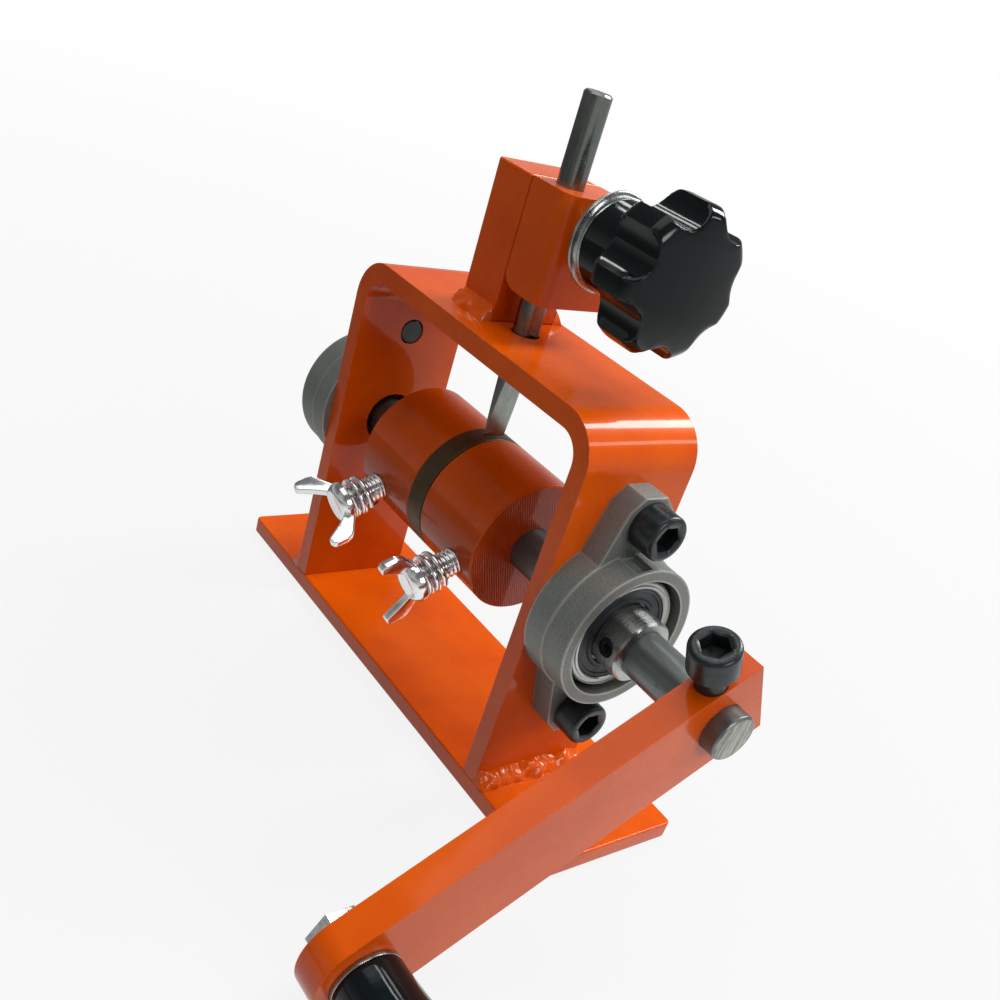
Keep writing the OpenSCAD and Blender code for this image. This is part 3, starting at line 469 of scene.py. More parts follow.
def finish_piece(name, bm, place, material, body, nodes, smooth=40):
    """Places the mesh, cleans it and makes it a piece that rides on a body and stands for the frame's nodes."""
    bmesh.ops.transform(bm, matrix=place, verts=bm.verts)
    bmesh.ops.remove_doubles(bm, verts=bm.verts, dist=SAME_PLACE)
    bmesh.ops.recalc_face_normals(bm, faces=bm.faces)
    mesh = bpy.data.meshes.new(name)
    bm.to_mesh(mesh)
    bm.free()
    mesh.shade_smooth()
    mesh.set_sharp_from_angle(angle=math.radians(smooth))
    mesh.materials.append(material)
    made = bpy.data.objects.new(name, mesh)
    bpy.context.scene.collection.objects.link(made)
    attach(made, body)
    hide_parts(*nodes)


def soften(node, material, width, angle=35):
    """Gives a frame node its material and rounds or keeps its sharp edges, leaving its own mesh as it is."""
    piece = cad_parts[node]
    piece.data.materials.clear()
    piece.data.materials.append(material)
    piece.modifiers.new("join", "WELD").merge_threshold = SAME_PLACE
    if not width:
        piece.modifiers.new("crisp edges", "EDGE_SPLIT").split_angle = math.radians(angle)
        return
    flat = piece.modifiers.new("flat faces", "DECIMATE")
    flat.decimate_type = "DISSOLVE"
    flat.angle_limit = math.radians(0.3)
    rounding = piece.modifiers.new("rounded edges", "BEVEL")
    rounding.width = width
    rounding.segments = 3
    rounding.limit_method = "ANGLE"
    rounding.angle_limit = math.radians(angle)
    piece.modifiers.new("smooth", "WEIGHTED_NORMAL").keep_sharp = False


MATERIALS = {}


def settings():
    """The three groups of settings."""
    scene = bpy.context.scene
    return scene.stripper_finish, scene.stripper_shape, scene.stripper_stage


# Operators

class PieceOperator:
    """What the operators share."""
    bl_options = {"REGISTER", "UNDO"}


class STRIPPER_OT_materials(PieceOperator, bpy.types.Operator):
    """Make the stripper's materials"""
    bl_idname = "stripper.materials"
    bl_label = "Make materials"

    def execute(self, context):
        look = settings()[0]
        MATERIALS["paint"] = enamel("orange_enamel", look)
        # The sleeves' enamel, darkened as a painted shade, with turning marks on their ends.
        MATERIALS["sleeve_paint"] = enamel("orange_enamel_in_painted_shade_on_sleeves", look, True)
        MATERIALS["cast"] = cast_zinc(look)
        MATERIALS["ground"] = ground_steel("ground_bearing_steel", list(look.ground), 0.28, depth=0.0006 * MM,
                                           round_axis="X")
        MATERIALS["seal"] = seal_rubber(look)
        MATERIALS["oxide"] = dull_black("black_oxide_steel", list(look.oxide), 0.3, 0.4 * MM, 0.006 * MM, 0.35)
        MATERIALS["shaft"] = drawn_shaft(look)
        MATERIALS["wheel"] = dull_black("browned_steel", list(look.wheel), 0.45, 0.5 * MM, 0.03 * MM, 0.6,
                                        plain_colour("#54452C"))
        MATERIALS["zinc"] = plated("bright_zinc_plate", list(look.zinc), 0.13)
        MATERIALS["nickel"] = plated("dull_nickel_plate", list(look.nickel), 0.2)
        MATERIALS["blade"] = ground_steel("ground_tool_steel", list(look.blade), 0.24, 0.35 * MM, (1, 1, 0.04),
                                          0.01 * MM)
        MATERIALS["plastic"] = moulded_plastic(look)
        return {"FINISHED"}


class STRIPPER_OT_painted_steel(PieceOperator, bpy.types.Operator):
    """Finish the base, the frame, the clamp, the sleeves and the arm"""
    bl_idname = "stripper.painted_steel"
    bl_label = "Finish painted steel"

    def execute(self, context):
        shape = settings()[1]
        for node in ("base_plate", "u_frame", "clamp_post", "clamp_block", "crank_arm"):
            soften(node, MATERIALS["paint"], shape.edge_round)
        for node in ("left_sleeve", "right_sleeve"):
            soften(node, MATERIALS["sleeve_paint"], shape.edge_round)
        return {"FINISHED"}


class STRIPPER_OT_metal_parts(PieceOperator, bpy.types.Operator):
    """Finish the bearings, the shaft, the feed wheel, the blade rod and the handle"""
    bl_idname = "stripper.metal_parts"
    bl_label = "Finish bare metal"

    def execute(self, context):
        shape = settings()[1]
        for side in ("left", "right"):
            soften(f"{side}_housing", MATERIALS["cast"], shape.cast_round)
            for part, finish, edge in (("inner_ring", "ground", 0), ("balls", "ground", 0.1),
                                       ("cage", "nickel", 0.1), ("ring_screw", "oxide", 0.12)):
                soften(f"{side}_{part}", MATERIALS[finish], edge * MM)
        for node, finish in (("shaft", "shaft"), ("feed_wheel", "wheel"), ("blade_rod", "blade"), ("knob_stud", "zinc"),
                             ("handle_pin", "nickel"), ("handle_washer", "nickel"), ("handle_nut", "zinc"),
                             ("handle_grip", "plastic")):
            soften(node, MATERIALS[finish], 0.15 * MM)
        return {"FINISHED"}


def weld_bead(bm, place, length, leg, step, ripples, lumps, flat, seed):
    """A weld bead along Y in the corner at the origin, with its legs along +X and +Z and its face bulged or flat."""
    sides = 9
    start = len(bm.verts)
    section = [bm.verts.new((-leg * 0.1, -length / 2, -leg * 0.1))]
    for i in range(sides + 1):
        a = math.pi / 2 * i / sides
        x, z = math.cos(a), math.sin(a)
        pull = 1 - flat + flat / (x + z)
        section.append(bm.verts.new((leg * x * pull, -length / 2, leg * z * pull)))
    section_lines = [bm.edges.new((section[i], section[(i + 1) % len(section)])) for i in range(len(section))]
    slices = max(8, round(length / step * 8))
    first = bm.faces.new(section)
    made = bmesh.ops.spin(bm, geom=section + section_lines, cent=(0, 0, 0), axis=(0, 1, 0),
                          dvec=(0, length / slices, 0), angle=0, steps=slices)
    last_edges = [g for g in made["geom_last"] if isinstance(g, bmesh.types.BMEdge)]
    bmesh.ops.edgenet_fill(bm, edges=last_edges)
    bm.verts.ensure_lookup_table()
    for vert in bm.verts[start:]:
        x, y, z = vert.co
        if x < 0 or z < 0:
            continue
        along = y / step + 0.35 * math.sin(2 * math.atan2(z, x))
        ripple = 0.5 + 0.5 * math.cos(TURN * along)
        lump = noise.noise(Vector((x, y, z)) / (2.9 * MM) + Vector((seed, 0, 0)))
        grow = 0.92 - ripples * ripple + lumps * lump
        end = min(1, (length / 2 - abs(y)) / (leg * 0.5))
        grow *= 0.8 + 0.2 * math.sqrt(max(0, end))
        vert.co.x = min(leg, x * grow)
        vert.co.z = min(leg, z * grow)
    bmesh.ops.transform(bm, matrix=place, verts=bm.verts[start:])


class STRIPPER_OT_welds(PieceOperator, bpy.types.Operator):
    """Model the weld beads at the frame's feet and round the clamp post"""
    bl_idname = "stripper.welds"
    bl_label = "Model welds"

    def execute(self, context):
        shape = settings()[1]
        low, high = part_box("frame_welds")
        leg = high.z - low.z
        bm = bmesh.new()
        for side, turn in ((1, 0), (-1, math.pi)):
            inner = high.x - leg
            place = Matrix.Translation((side * inner, 0, low.z)) @ Matrix.Rotation(turn, 4, "Z")
            weld_bead(bm, place, high.y - low.y, leg, shape.weld_step, 0.02, 0.3, 0.3, side * 5)
        finish_piece("rippled_frame_welds", bm, Matrix(), MATERIALS["paint"], "stand",
                     ["frame_welds"], 60)
        low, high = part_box("post_welds")
        post_low, post_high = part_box("clamp_post")
        leg = high.z - low.z
        middle = (post_low + post_high) / 2
        depth = post_high.y - post_low.y
        width = post_high.x - post_low.x
        bm = bmesh.new()
        for place, length, seed in (
            (Matrix.Translation((post_low.x, middle.y, low.z)) @ Matrix.Rotation(math.pi, 4, "Z"), depth, 2),
            (Matrix.Translation((middle.x, post_low.y, low.z)) @ Matrix.Rotation(-math.pi / 2, 4, "Z"), width, 9),
            (Matrix.Translation((middle.x, post_high.y, low.z)) @ Matrix.Rotation(math.pi / 2, 4, "Z"), width, 17),
        ):
            weld_bead(bm, place, length, leg, shape.weld_step * 1.4, 0.0, 0.22, 0.85, seed)
        finish_piece("lumpy_post_welds", bm, Matrix(), MATERIALS["paint"], "stand",
                     ["post_welds"], 60)
        return {"FINISHED"}


def socket_screw(bm, place, head_r, head_h, shank_r, shank_l, across):
    """A socket head screw along Z, its head's underside at the origin."""
    start = len(bm.verts)
    mouth_r = across / math.sqrt(3) + 0.35 * MM
    soft = 0.9 * MM
    outline = [(0, -shank_l), (shank_r - 0.4 * MM, -shank_l), (shank_r, -shank_l + 0.4 * MM), (shank_r, 0),
               (head_r - 0.25 * MM, 0), (head_r, 0.25 * MM)]
    outline += arc((head_r - soft, head_h - soft), soft, 0, 90, 6)
    outline.append((mouth_r, head_h))
    turned(bm, outline, 48)
    bm.verts.ensure_lookup_table()
    mouth = [e for e in bm.edges if e.is_boundary and all(v.co.z > head_h * 0.9 for v in e.verts)]
    hexagon = bmesh.ops.create_circle(bm, segments=6, radius=across / math.sqrt(3),
                                      matrix=Matrix.Translation((0, 0, head_h - 0.35 * MM)))["verts"]
    sides = list({e for v in hexagon for e in v.link_edges})
    bmesh.ops.subdivide_edges(bm, edges=sides, cuts=7)
    hexagon_lines = [e for e in bm.edges if e.is_wire]
    bmesh.ops.bridge_loops(bm, edges=mouth + hexagon_lines)
    deep = bmesh.ops.extrude_edge_only(bm, edges=hexagon_lines)["geom"]
    deep_verts = [g for g in deep if isinstance(g, bmesh.types.BMVert)]
    bmesh.ops.translate(bm, vec=(0, 0, -head_h * 0.5), verts=deep_verts)
    deep_edges = [g for g in deep if isinstance(g, bmesh.types.BMEdge)]
    rim = [e for e in deep_edges if all(v in deep_verts for v in e.verts)]
    bottom = bmesh.ops.extrude_edge_only(bm, edges=rim)["geom"]
    bottom_verts = [g for g in bottom if isinstance(g, bmesh.types.BMVert)]
    bmesh.ops.scale(bm, vec=(0.02, 0.02, 1), verts=bottom_verts)
    bmesh.ops.translate(bm, vec=(0, 0, -0.6 * MM), verts=bottom_verts)
    bmesh.ops.remove_doubles(bm, verts=bottom_verts, dist=0.1 * MM)
    bm.verts.ensure_lookup_table()
    bmesh.ops.transform(bm, matrix=place, verts=bm.verts[start:])


class STRIPPER_OT_screws(PieceOperator, bpy.types.Operator):
    """Model the socket head screws of the bearings and of the arm"""
    bl_idname = "stripper.screws"
    bl_label = "Model socket head screws"

    def execute(self, context):
        shape = settings()[1]
        for side, sign in (("left", -1), ("right", 1)):
            node = f"{side}_flange_screws"
            low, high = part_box(node)
            head_r = (high.y - low.y) / 2
            bm = bmesh.new()
            seat = sign * (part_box("u_frame")[1].x + FLANGE_THICKNESS)
            reach = max(abs(low.x), abs(high.x))
            for z in (low.z + head_r, high.z - head_r):
                place = Matrix.Translation((seat, 0, z)) @ Matrix.Rotation(sign * math.pi / 2, 4, "Y")
                screw = bmesh.new()
                socket_screw(screw, place, head_r, reach - abs(seat), SCREW_RADIUS,
                             abs(seat) - min(abs(low.x), abs(high.x)), shape.socket)
                join(bm, screw)
            finish_piece(f"{side}_bearing_screws", bm, Matrix(), MATERIALS["oxide"], "stand",
                         [node], 35)
        bm = bmesh.new()
        lean = Matrix.Rotation(ARM_SCREW_LEAN, 4, "X")
        seat = Matrix.Translation((0, 0, ARM_SCREW_SEAT))
        place = shaft_point(place_of("arm_screw").x) @ arm_direction() @ lean @ seat
        socket_screw(bm, place, SCREW_HEAD_RADIUS, SCREW_HEAD_HEIGHT, SCREW_RADIUS, ARM_SCREW_LENGTH, shape.socket)
        finish_piece("arm_lock_screw", bm, Matrix(), MATERIALS["oxide"], "rotor", ["arm_screw"], 35)
        return {"FINISHED"}


def join(bm, other):
    """Adds another mesh to this one."""
    mesh = bpy.data.meshes.new("passing")
    other.to_mesh(mesh)
    other.free()
    bm.from_mesh(mesh)
    bpy.data.meshes.remove(mesh)


def arm_direction():
    """Turn of the arm about the shaft, from the handle's place."""
    shaft = place_of("shaft")
    handle = place_of("handle_washer")
    return Matrix.Rotation(math.atan2(shaft.z - handle.z, shaft.y - handle.y), 4, "X")


def shaft_point(x):
    """Moves the origin to a point on the shaft's axis."""
    return Matrix.Translation((x, 0, place_of("shaft").z))


def wing_axis(node):
    """Turns +Z to run out of the sleeve along a wing screw's axis, from the shaft's axis."""
    return shaft_point(place_of(node).x) @ Matrix.Rotation(math.pi / 2 + WING_TILT, 4, "X")


def screw_thread(bm, radius, start, end, pitch, depth, steps=32):
    """A screw thread: one tooth of its outline climbs round the axis, over a plain core."""
    turns = math.floor((end - start) / pitch) - 1
    root = radius - depth
    tooth = [(root, 0), (radius - 0.06 * MM, pitch * 0.36), (radius, pitch * 0.45), (radius, pitch * 0.55),
             (radius - 0.06 * MM, pitch * 0.64), (root, pitch)]
    points = [bm.verts.new((r, 0, start + z)) for r, z in tooth]
    lines = [bm.edges.new(pair) for pair in zip(points, points[1:])]
    bmesh.ops.spin(bm, geom=points + lines, cent=(0, 0, 0), axis=(0, 0, 1), dvec=(0, 0, pitch / steps),
                   angle=TURN * turns, steps=steps * turns)
    bmesh.ops.remove_doubles(bm, verts=bm.verts, dist=SAME_PLACE)


def wing(bm, reach, rise, thickness, side):
    """One wing: a plate cut to the wing's outline, thickened and rounded."""
    tip = rise / MM / 6
    out, up = reach / MM, rise / MM
    outline = [(2.2, 0.2), (4.5, 0.2), (5.6, 0.9), (out - 1.2, 2.75), (out - 0.3, 3.6), (out, 4.8), (out, up - tip)]
    outline += arc((out - tip, up - tip), tip, 15, 120, 5) + [(out - 4.2, 4.9), (3.8, 2.75), (2.2, 2.7)]
    made = bmesh.new()
    corners = [made.verts.new((r * MM, -thickness / 2, z * MM)) for r, z in outline]
    plate = made.faces.new(corners)
    thick = bmesh.ops.extrude_face_region(made, geom=[plate])["geom"]
    bmesh.ops.translate(made, vec=(0, thickness, 0), verts=[g for g in thick if isinstance(g, bmesh.types.BMVert)])
    bmesh.ops.recalc_face_normals(made, faces=made.faces)
    bmesh.ops.bevel(made, geom=made.edges, offset=0.26 * MM, affect="EDGES", segments=3, profile=0.5, material=-1)
    if side < 0:
        bmesh.ops.rotate(made, cent=(0, 0, 0), matrix=Matrix.Rotation(math.pi, 3, "Z"), verts=made.verts)
    join(bm, made)


class STRIPPER_OT_wing_screws(PieceOperator, bpy.types.Operator):
    """Model the wing screws and their springs"""
    bl_idname = "stripper.wing_screws"
    bl_label = "Model wing screws and springs"

    def execute(self, context):
        shape = settings()[1]
        hub_z = WING_HUB_SEAT
        for side, turn in WING_TURNS.items():
            axis = wing_axis(f"{side}_wing_screw")
            bm = bmesh.new()
            core_r, core_top = 2.6 * MM, hub_z + 0.3 * MM
            turned(bm, [(0, WING_SCREW_END), (core_r, WING_SCREW_END), (core_r, core_top), (0, core_top)], 32)
            thread = bmesh.new()
            screw_thread(thread, SCREW_RADIUS, WING_SCREW_END + 0.1 * MM, hub_z + 1.6 * MM, shape.thread_pitch,
                         shape.thread_depth)
            join(bm, thread)
            hub = bmesh.new()
            r = WING_HUB_RADIUS
            turned(hub, [(2.4 * MM, hub_z), (r - 0.3 * MM, hub_z), (r, hub_z + 0.3 * MM), (r, hub_z + 1.2 * MM),
                         (r - 0.12 * MM, hub_z + 1.6 * MM), (3.95 * MM, hub_z + 2.6 * MM),
                         (3.6 * MM, hub_z + 2.85 * MM), (3.2 * MM, hub_z + 2.9 * MM),
                         (2.6 * MM, hub_z + 2.75 * MM), (0, hub_z + 2.65 * MM)], 64)
            join(bm, hub)
            wings = bmesh.new()
            for half in (1, -1):
                wing(wings, WING_REACH, WING_RISE, WING_THICKNESS, half)
            on_hub = Matrix.Translation((0, 0, hub_z)) @ Matrix.Rotation(turn, 4, "Z")
            bmesh.ops.transform(wings, matrix=on_hub, verts=wings.verts)
            join(bm, wings)
            finish_piece(f"{side}_winged_screw", bm, axis, MATERIALS["zinc"], f"{side}_wing_body",
                         [f"{side}_wing_screw"], 32)
            self.spring(side, axis, shape)
        return {"FINISHED"}

    def spring(self, side, axis, shape):
        """A round wire that climbs from the sleeve's side and ends against the hub."""
        bm = bmesh.new()
        start = Matrix.Translation((shape.coil_radius, -shape.wire, SPRING_SEAT)) @ Matrix.Rotation(math.pi / 2, 4, "X")
        ring = bmesh.ops.create_circle(bm, segments=14, radius=shape.wire / 2, matrix=start)
        loop = list({e for v in ring["verts"] for e in v.link_edges})
        bmesh.ops.edgeloop_fill(bm, edges=loop)
        last = bmesh.ops.extrude_edge_only(bm, edges=loop)["geom"]
        last_verts = [g for g in last if isinstance(g, bmesh.types.BMVert)]
        bmesh.ops.translate(bm, vec=(0, shape.wire, 0), verts=last_verts)
        last_loop = [g for g in last if isinstance(g, bmesh.types.BMEdge) and all(v in last_verts for v in g.verts)]
        made = bmesh.ops.spin(bm, geom=last_verts + last_loop, cent=(0, 0, 0), axis=(0, 0, 1),
                              dvec=(0, 0, shape.coil_pitch / CURL_STEPS), angle=TURN * SPRING_CURLS,
                              steps=round(CURL_STEPS * SPRING_CURLS))["geom_last"]
        end = [g for g in made if isinstance(g, bmesh.types.BMEdge)]
        top = SPRING_SEAT + shape.coil_pitch * SPRING_CURLS
        rise = WING_HUB_SEAT - 0.02 * MM - top
        turn = Matrix.Rotation(TURN * SPRING_CURLS, 3, "Z")
        for share in (0.35, 0.35, 0.3):
            grown = bmesh.ops.extrude_edge_only(bm, edges=end)["geom"]
            verts = [g for g in grown if isinstance(g, bmesh.types.BMVert)]
            end = [g for g in grown if isinstance(g, bmesh.types.BMEdge) and all(v in verts for v in g.verts)]
            bmesh.ops.translate(bm, vec=turn @ Vector((0, shape.wire * 0.5, 0)), verts=verts)
            bmesh.ops.translate(bm, vec=(0, 0, (rise - shape.wire / 2) * share), verts=verts)
        bmesh.ops.edgeloop_fill(bm, edges=end)
        finish_piece(f"{side}_coil_spring", bm, axis, MATERIALS["zinc"], f"{side}_wing_body",
                     [f"{side}_spring"], 50)


class STRIPPER_OT_outer_rings(PieceOperator, bpy.types.Operator):
    """Model the bearings' outer rings, with a groove round each face"""
    bl_idname = "stripper.outer_rings"
    bl_label = "Model outer rings"

    def execute(self, context):
        for side in ("left", "right"):
            low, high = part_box(f"{side}_outer_ring")
            ball_low, ball_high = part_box(f"{side}_balls")
            seal_low, seal_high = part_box(f"{side}_seals")
            half = (high.x - low.x) / 2
            ball_r = (ball_high.x - ball_low.x) / 2
            bore = (seal_high.z - seal_low.z) / 2
            race = (ball_high.z - ball_low.z) / 2 - ball_r
            ball_angle = math.degrees(math.acos((bore - race) / ball_r))
            out = (high.z - low.z) / 2
            rim = math.sqrt(out * out - half * half)
            face = rim - bore
            edge = 0.25 * MM
            profile = [(bore, half - edge), (bore + edge, half), (bore + face * 0.42, half),
                       (bore + face * 0.5, half - edge), (bore + face * 0.72, half - edge), (bore + face * 0.8, half),
                       (rim - edge, half)]
            dome = math.degrees(math.asin((half - edge) / out))
            outline = arc((race, 0), ball_r, -ball_angle, ball_angle, 12)
            outline += profile + arc((0, 0), out, dome, -dome, 16)
            outline += [(r, -x) for r, x in reversed(profile)] + [outline[0]]
            bm = bmesh.new()
            turned(bm, outline, 128)
            place = Matrix.Translation((low + high) / 2) @ Matrix.Rotation(math.pi / 2, 4, "Y")
            finish_piece(f"{side}_grooved_outer_ring", bm, place, MATERIALS["ground"], "stand",
                         [f"{side}_outer_ring"], 30)
        return {"FINISHED"}


class STRIPPER_OT_seals(PieceOperator, bpy.types.Operator):
    """Model the bearings' seals"""
    bl_idname = "stripper.seals"
    bl_label = "Model seals"

    def execute(self, context):
        for side in ("left", "right"):
            low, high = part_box(f"{side}_seals")
            middle = (low + high) / 2
            half = (high.x - low.x) / 2
            outer = (high.z - low.z) / 2
            inner = SEAL_BORE_RADIUS
            back = half - SEAL_THICKNESS
            bm = bmesh.new()
            for way in (1, -1):
                seal = bmesh.new()
                turned(seal, [(inner, back), (outer, back), (outer, half - 0.25 * MM),
                              (outer - 0.2 * MM, half - 0.05 * MM), (outer - 0.8 * MM, half - 0.1 * MM),
                              (outer - 1.0 * MM, half - 0.35 * MM),
                              (inner + 1.1 * MM, half - 0.35 * MM), (inner + 0.8 * MM, half),
                              (inner + 0.2 * MM, half), (inner, half - 0.2 * MM), (inner, back)], 96)
                if way < 0:
                    bmesh.ops.rotate(seal, cent=(0, 0, 0), matrix=Matrix.Rotation(math.pi, 3, "X"), verts=seal.verts)
                join(bm, seal)
            place = Matrix.Translation(middle) @ Matrix.Rotation(math.pi / 2, 4, "Y")
            finish_piece(f"{side}_lipped_seals", bm, place, MATERIALS["seal"], "stand",
                         [f"{side}_seals"], 35)
        return {"FINISHED"}


class STRIPPER_OT_knob(PieceOperator, bpy.types.Operator):
    """Model the lobed knob and its bright collar"""
    bl_idname = "stripper.knob"
    bl_label = "Model knob"

    def execute(self, context):
        shape = settings()[1]
        low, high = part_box("star_knob")
        collar_low, collar_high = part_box("knob_collar")
        axis_y = (collar_low.y + collar_high.y) / 2
        axis_z = (collar_low.z + collar_high.z) / 2
        place = Matrix.Translation((collar_low.x, axis_y, axis_z)) @ Matrix.Rotation(math.pi / 2, 4, "Y")
        length = high.x - collar_low.x
        rim_r = (collar_high.z - collar_low.z) / 2
        rim_w = collar_high.x - collar_low.x
        hub_r, hub_l = KNOB_HUB_RADIUS, KNOB_HUB_LENGTH
        r = shape.knob_radius
        soft = 3.2 * MM
        dome = 1.6 * MM
        bm = bmesh.new()
        outline = [(0, rim_w), (hub_r - 0.6 * MM, rim_w), (hub_r, rim_w + 0.3 * MM), (hub_r, hub_l - 2.4 * MM)]
        outline += arc((hub_r + 1.6 * MM, hub_l - 2.0 * MM), 1.6 * MM, 180, 100, 6)
        outline += arc((r - 2.6 * MM, hub_l + 2.6 * MM), 2.6 * MM, -80, 0, 8)
        outline += [(r, hub_l + 3.6 * MM + (length - hub_l - 8 * MM) * i / 6) for i in range(7)]
        outline += arc((r - soft, length - 0.66 * dome - 0.985 * soft), soft, 0, 80, 12)
        outline += [(r * share, length - dome * share * share) for share in (0.72, 0.6, 0.46, 0.32, 0.18, 0.08, 0)]
        turned(bm, outline, shape.lobes * LOBE_STEPS)
        self.flutes(bm, shape)
        finish_piece("lobed_knob", bm, place, MATERIALS["plastic"], "knob", ["star_knob"], 60)
        bm = bmesh.new()
        edge = 0.35 * MM
        outline = [(KNOB_BORE_RADIUS, 0), (rim_r - edge, 0)] + arc((rim_r - edge, edge), edge, -90, 90, 8)
        outline += [(rim_r - 0.8 * MM, 0.8 * MM), (rim_r - 1.3 * MM, 1.2 * MM),
                    (hub_r + 0.15 * MM, rim_w - 0.25 * MM), (hub_r - 0.1 * MM, rim_w), (KNOB_BORE_RADIUS, rim_w),
                    (KNOB_BORE_RADIUS, 0)]
        turned(bm, outline, 96)
        finish_piece("rolled_knob_collar", bm, place, MATERIALS["nickel"], "knob", ["knob_collar"], 50)
        return {"FINISHED"}

    def flutes(self, bm, shape):
        """Presses the flutes into the turned head, softly where a flute meets a lobe."""
        away = shape.knob_radius - shape.flute_depth + shape.flute_radius
        step = TURN / shape.lobes
        soft = 0.9 * MM
        for vert in bm.verts:
            r = math.hypot(vert.co.x, vert.co.y)
            if r < KNOB_HUB_RADIUS * 0.6 or vert.co.z < KNOB_HUB_LENGTH - 2.2 * MM:
                continue
            a = math.atan2(vert.co.y, vert.co.x) - KNOB_TURN
            off = (a + step / 2) % step - step / 2
            under = shape.flute_radius ** 2 - (away * math.sin(off)) ** 2
            if under <= 0:
                limit = away * math.cos(off) + 3 * MM
            else:
                limit = away * math.cos(off) - math.sqrt(under)
            share = max(0.0, min(1.0, 0.5 + 0.5 * (limit - r) / soft))
            level = limit * (1 - share) + r * share - soft * share * (1 - share)
            vert.co.x *= level / r
            vert.co.y *= level / r


# Stage

def sight(tree):
    """One for what the camera sees straight, in gloss or through glass, and one for what it sees straight."""
    path = add(tree, "ShaderNodeLightPath")
    straight = path.outputs["Is Camera Ray"]
    turned_away = add(tree, "ShaderNodeMath", {0: path.outputs["Is Glossy Ray"],
                                               1: path.outputs["Is Transmission Ray"]}, operation="MAXIMUM")
    return add(tree, "ShaderNodeMath", {0: straight, 1: turned_away}, operation="MAXIMUM"), straight


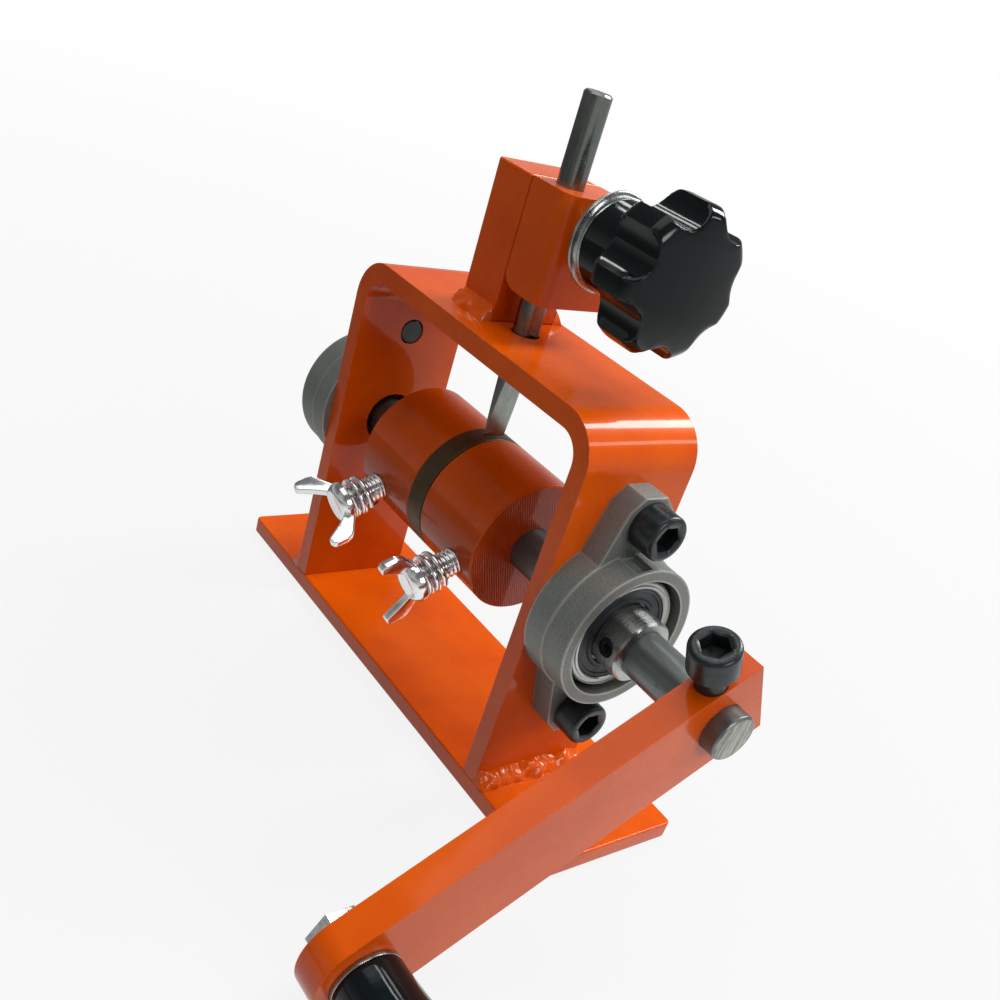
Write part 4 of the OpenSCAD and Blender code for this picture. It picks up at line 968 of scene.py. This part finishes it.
class STRIPPER_OT_stage(PieceOperator, bpy.types.Operator):
    """Make the floor, the lamps, the room light and the camera"""
    bl_idname = "stripper.stage"
    bl_label = "Set the stage"

    def execute(self, context):
        stage = settings()[2]
        self.floor(stage)
        self.room(stage)
        for name, place, size, power in (
            ("top_softbox", (-0.05, -0.1, 0.8), (0.6, 0.6), stage.top_power),
            ("side_softbox", (0.72, 0.0, 0.42), (0.22, 0.3), stage.side_power),
            ("front_softbox", (0.1, -0.8, 0.5), (0.6, 0.6), stage.front_power),
            ("window_strip", (0.035, 0.648, 0.711), (0.22, 0.55), stage.window_power),
            ("tube_strip", (0.53, 0.61, 0.57), (0.09, 0.4), stage.tube_power),
            ("left_strip", (-0.48, 0.33, 0.68), (0.4, 0.11), stage.left_power),
            ("second_left_strip", (-0.48, 0.13, 0.72), (0.4, 0.06), stage.left_power),
        ):
            self.lamp(name, Vector(place), size, power)
        self.camera(stage)
        bpy.context.scene.view_settings.view_transform = "Standard"
        return {"FINISHED"}

    def lamp(self, name, place, size, power):
        """A flat lamp that faces the frame's top, its short side in the plane of the frame."""
        lamp = bpy.data.lights.new(name, "AREA")
        lamp.shape = "RECTANGLE"
        lamp.size, lamp.size_y = size
        lamp.energy = power
        frame_corner = Vector((0.038, 0, 0.086))
        back = (place - frame_corner).normalized()
        across = Vector((back.z, 0, -back.x)).normalized()
        made = bpy.data.objects.new(name, lamp)
        made.matrix_world = Matrix.Translation(place) @ Matrix((across, back.cross(across), back)).transposed().to_4x4()
        bpy.context.scene.collection.objects.link(made)

    def floor(self, stage):
        """A wide pale floor that keeps the object's shadow and turns white further out, dimmer in gloss on the left."""
        bm = bmesh.new()
        bmesh.ops.create_grid(bm, x_segments=8, y_segments=8, size=6)
        bmesh.ops.translate(bm, vec=(0, 0, -0.01 * MM), verts=bm.verts)
        mesh = bpy.data.meshes.new("floor")
        bm.to_mesh(mesh)
        bm.free()
        material, tree = start_material("matt_pale_floor")
        grain = add(tree, "ShaderNodeTexNoise", {"Vector": object_place(tree), "Scale": 1 / (6 * MM), "Detail": 2})
        share = add(tree, "ShaderNodeMapRange", {"Value": grain, "From Min": 0.3, "From Max": 0.7, "To Max": 0.1})
        pale = add(tree, "ShaderNodeMix", {0: share, 6: stage.floor, 7: plain_colour("#949494")},
                   data_type="RGBA").outputs[2]
        seen, straight = sight(tree)
        gloss = add(tree, "ShaderNodeMath", {0: seen, 1: straight}, operation="SUBTRACT")
        away = add(tree, "ShaderNodeVectorMath", {0: object_place(tree)}, operation="LENGTH").outputs["Value"]
        bright = add(tree, "ShaderNodeMapRange",
                     {"Value": away, "From Min": 0.08, "From Max": 0.8, "To Min": 0.86, "To Max": 1.0})
        sides = add(tree, "ShaderNodeSeparateXYZ", {0: object_place(tree, turn=(0, 0, math.radians(-45)))})
        sideways = add(tree, "ShaderNodeMapRange",
                       {"Value": sides, "From Min": -0.2, "From Max": 0.1, "To Min": 0.28, "To Max": 1.3})
        outwards = add(tree, "ShaderNodeMapRange",
                       {"Value": away, "From Min": 0.12, "From Max": 0.32, "To Min": 1.0, "To Max": 0.45})
        mirrored = add(tree, "ShaderNodeMath", {0: sideways, 1: outwards}, operation="MULTIPLY")
        mirrored = add(tree, "ShaderNodeMath", {0: mirrored, 1: gloss}, operation="MULTIPLY")
        strength = add(tree, "ShaderNodeMath", {0: mirrored, 1: straight}, operation="MAXIMUM")
        backdrop = add(tree, "ShaderNodeMath", {0: seen, 1: bright}, operation="MULTIPLY")
        share = add(tree, "ShaderNodeMath", {0: gloss, 1: backdrop}, operation="MAXIMUM")
        matt = add(tree, "ShaderNodeBsdfDiffuse", {"Color": pale})
        white = add(tree, "ShaderNodeEmission", {"Color": (1, 1, 1, 1), "Strength": strength})
        mixed = add(tree, "ShaderNodeMixShader", {0: share, 1: matt, 2: white})
        add(tree, "ShaderNodeOutputMaterial", {"Surface": mixed})
        mesh.materials.append(material)
        floor = bpy.data.objects.new("floor", mesh)
        bpy.context.scene.collection.objects.link(floor)

    def room(self, stage):
        """White room for the camera, mirrored in gloss with a darker ceiling, and a softer light on the object."""
        world = bpy.data.worlds.new("pale_room")
        bpy.context.scene.world = world
        world.use_nodes = True
        tree = world.node_tree
        tree.nodes.clear()
        seen, straight = sight(tree)
        way = add(tree, "ShaderNodeTexCoord").outputs["Generated"]
        height = add(tree, "ShaderNodeSeparateXYZ", {0: way}).outputs[2]
        overhead = add(tree, "ShaderNodeMapRange", {"Value": height, "From Min": -0.05, "From Max": 0.4,
                                                    "To Min": 0.6, "To Max": stage.ceiling})
        mirrored = add(tree, "ShaderNodeMath", {0: overhead, 1: straight}, operation="MAXIMUM")
        facing = add(tree, "ShaderNodeVectorMath", {0: way, 1: (0.25, 0.1, 0.96)},
                     operation="DOT_PRODUCT").outputs["Value"]
        light = add(tree, "ShaderNodeMapRange", {"Value": facing, "From Min": 0.25, "From Max": 1.0,
                                                 "To Min": 0.03, "To Max": stage.world_light})
        backdrop = add(tree, "ShaderNodeMath", {0: seen, 1: mirrored}, operation="MULTIPLY")
        unseen = add(tree, "ShaderNodeMath", {0: 1.0, 1: seen}, operation="SUBTRACT")
        lit = add(tree, "ShaderNodeMath", {0: unseen, 1: light}, operation="MULTIPLY")
        strength = add(tree, "ShaderNodeMath", {0: backdrop, 1: lit}, operation="ADD")
        glow = add(tree, "ShaderNodeBackground", {"Color": (1, 1, 1, 1), "Strength": strength})
        add(tree, "ShaderNodeOutputWorld", {"Surface": glow})

    def camera(self, stage):
        """The camera, turned by azimuth, elevation and roll."""
        data = bpy.data.cameras.new("camera")
        data.sensor_width = 36
        data.lens = stage.lens
        data.shift_x, data.shift_y = stage.shift
        data.clip_start = 0.01
        a, e, r = stage.azimuth, stage.elevation, stage.roll
        back = Vector((math.sin(a) * math.cos(e), -math.cos(a) * math.cos(e), math.sin(e)))
        right = Vector((math.cos(a), math.sin(a), 0))
        up = back.cross(right)
        x_way = right * math.cos(r) + up * math.sin(r)
        y_way = up * math.cos(r) - right * math.sin(r)
        camera = bpy.data.objects.new("camera", data)
        turn = Matrix((x_way, y_way, back)).transposed().to_4x4()
        camera.matrix_world = Matrix.Translation(stage.camera_place) @ turn
        bpy.context.scene.collection.objects.link(camera)
        bpy.context.scene.camera = camera


class STRIPPER_PT_panel(bpy.types.Panel):
    """Lists the stripper's settings and the steps that build it"""
    bl_idname = "STRIPPER_PT_panel"
    bl_label = "Wire stripper"
    bl_space_type = "VIEW_3D"
    bl_region_type = "UI"
    bl_category = "Wire stripper"

    def draw(self, context):
        for group in settings():
            box = self.layout.box()
            for name in group.__annotations__:
                box.prop(group, name)
        for operator in STEPS:
            self.layout.operator(operator.bl_idname)


STEPS = (STRIPPER_OT_materials, STRIPPER_OT_painted_steel, STRIPPER_OT_metal_parts, STRIPPER_OT_welds,
         STRIPPER_OT_screws, STRIPPER_OT_wing_screws, STRIPPER_OT_outer_rings, STRIPPER_OT_seals,
         STRIPPER_OT_knob, STRIPPER_OT_stage)
GROUPS = {"stripper_finish": StripperFinish, "stripper_shape": StripperShape, "stripper_stage": StripperStage}


def register():
    """Registers the settings, the steps and the panel."""
    for name, group in GROUPS.items():
        bpy.utils.register_class(group)
        setattr(bpy.types.Scene, name, PointerProperty(type=group))
    for step in STEPS + (STRIPPER_PT_panel,):
        bpy.utils.register_class(step)


def unregister():
    """Removes what register added."""
    for step in reversed(STEPS + (STRIPPER_PT_panel,)):
        bpy.utils.unregister_class(step)
    for name, group in GROUPS.items():
        delattr(bpy.types.Scene, name)
        bpy.utils.unregister_class(group)


def main():
    """Builds the whole scene."""
    register()
    for step in STEPS:
        group, name = step.bl_idname.split(".")
        getattr(getattr(bpy.ops, group), name)()


if __name__ == "__main__":
    main()
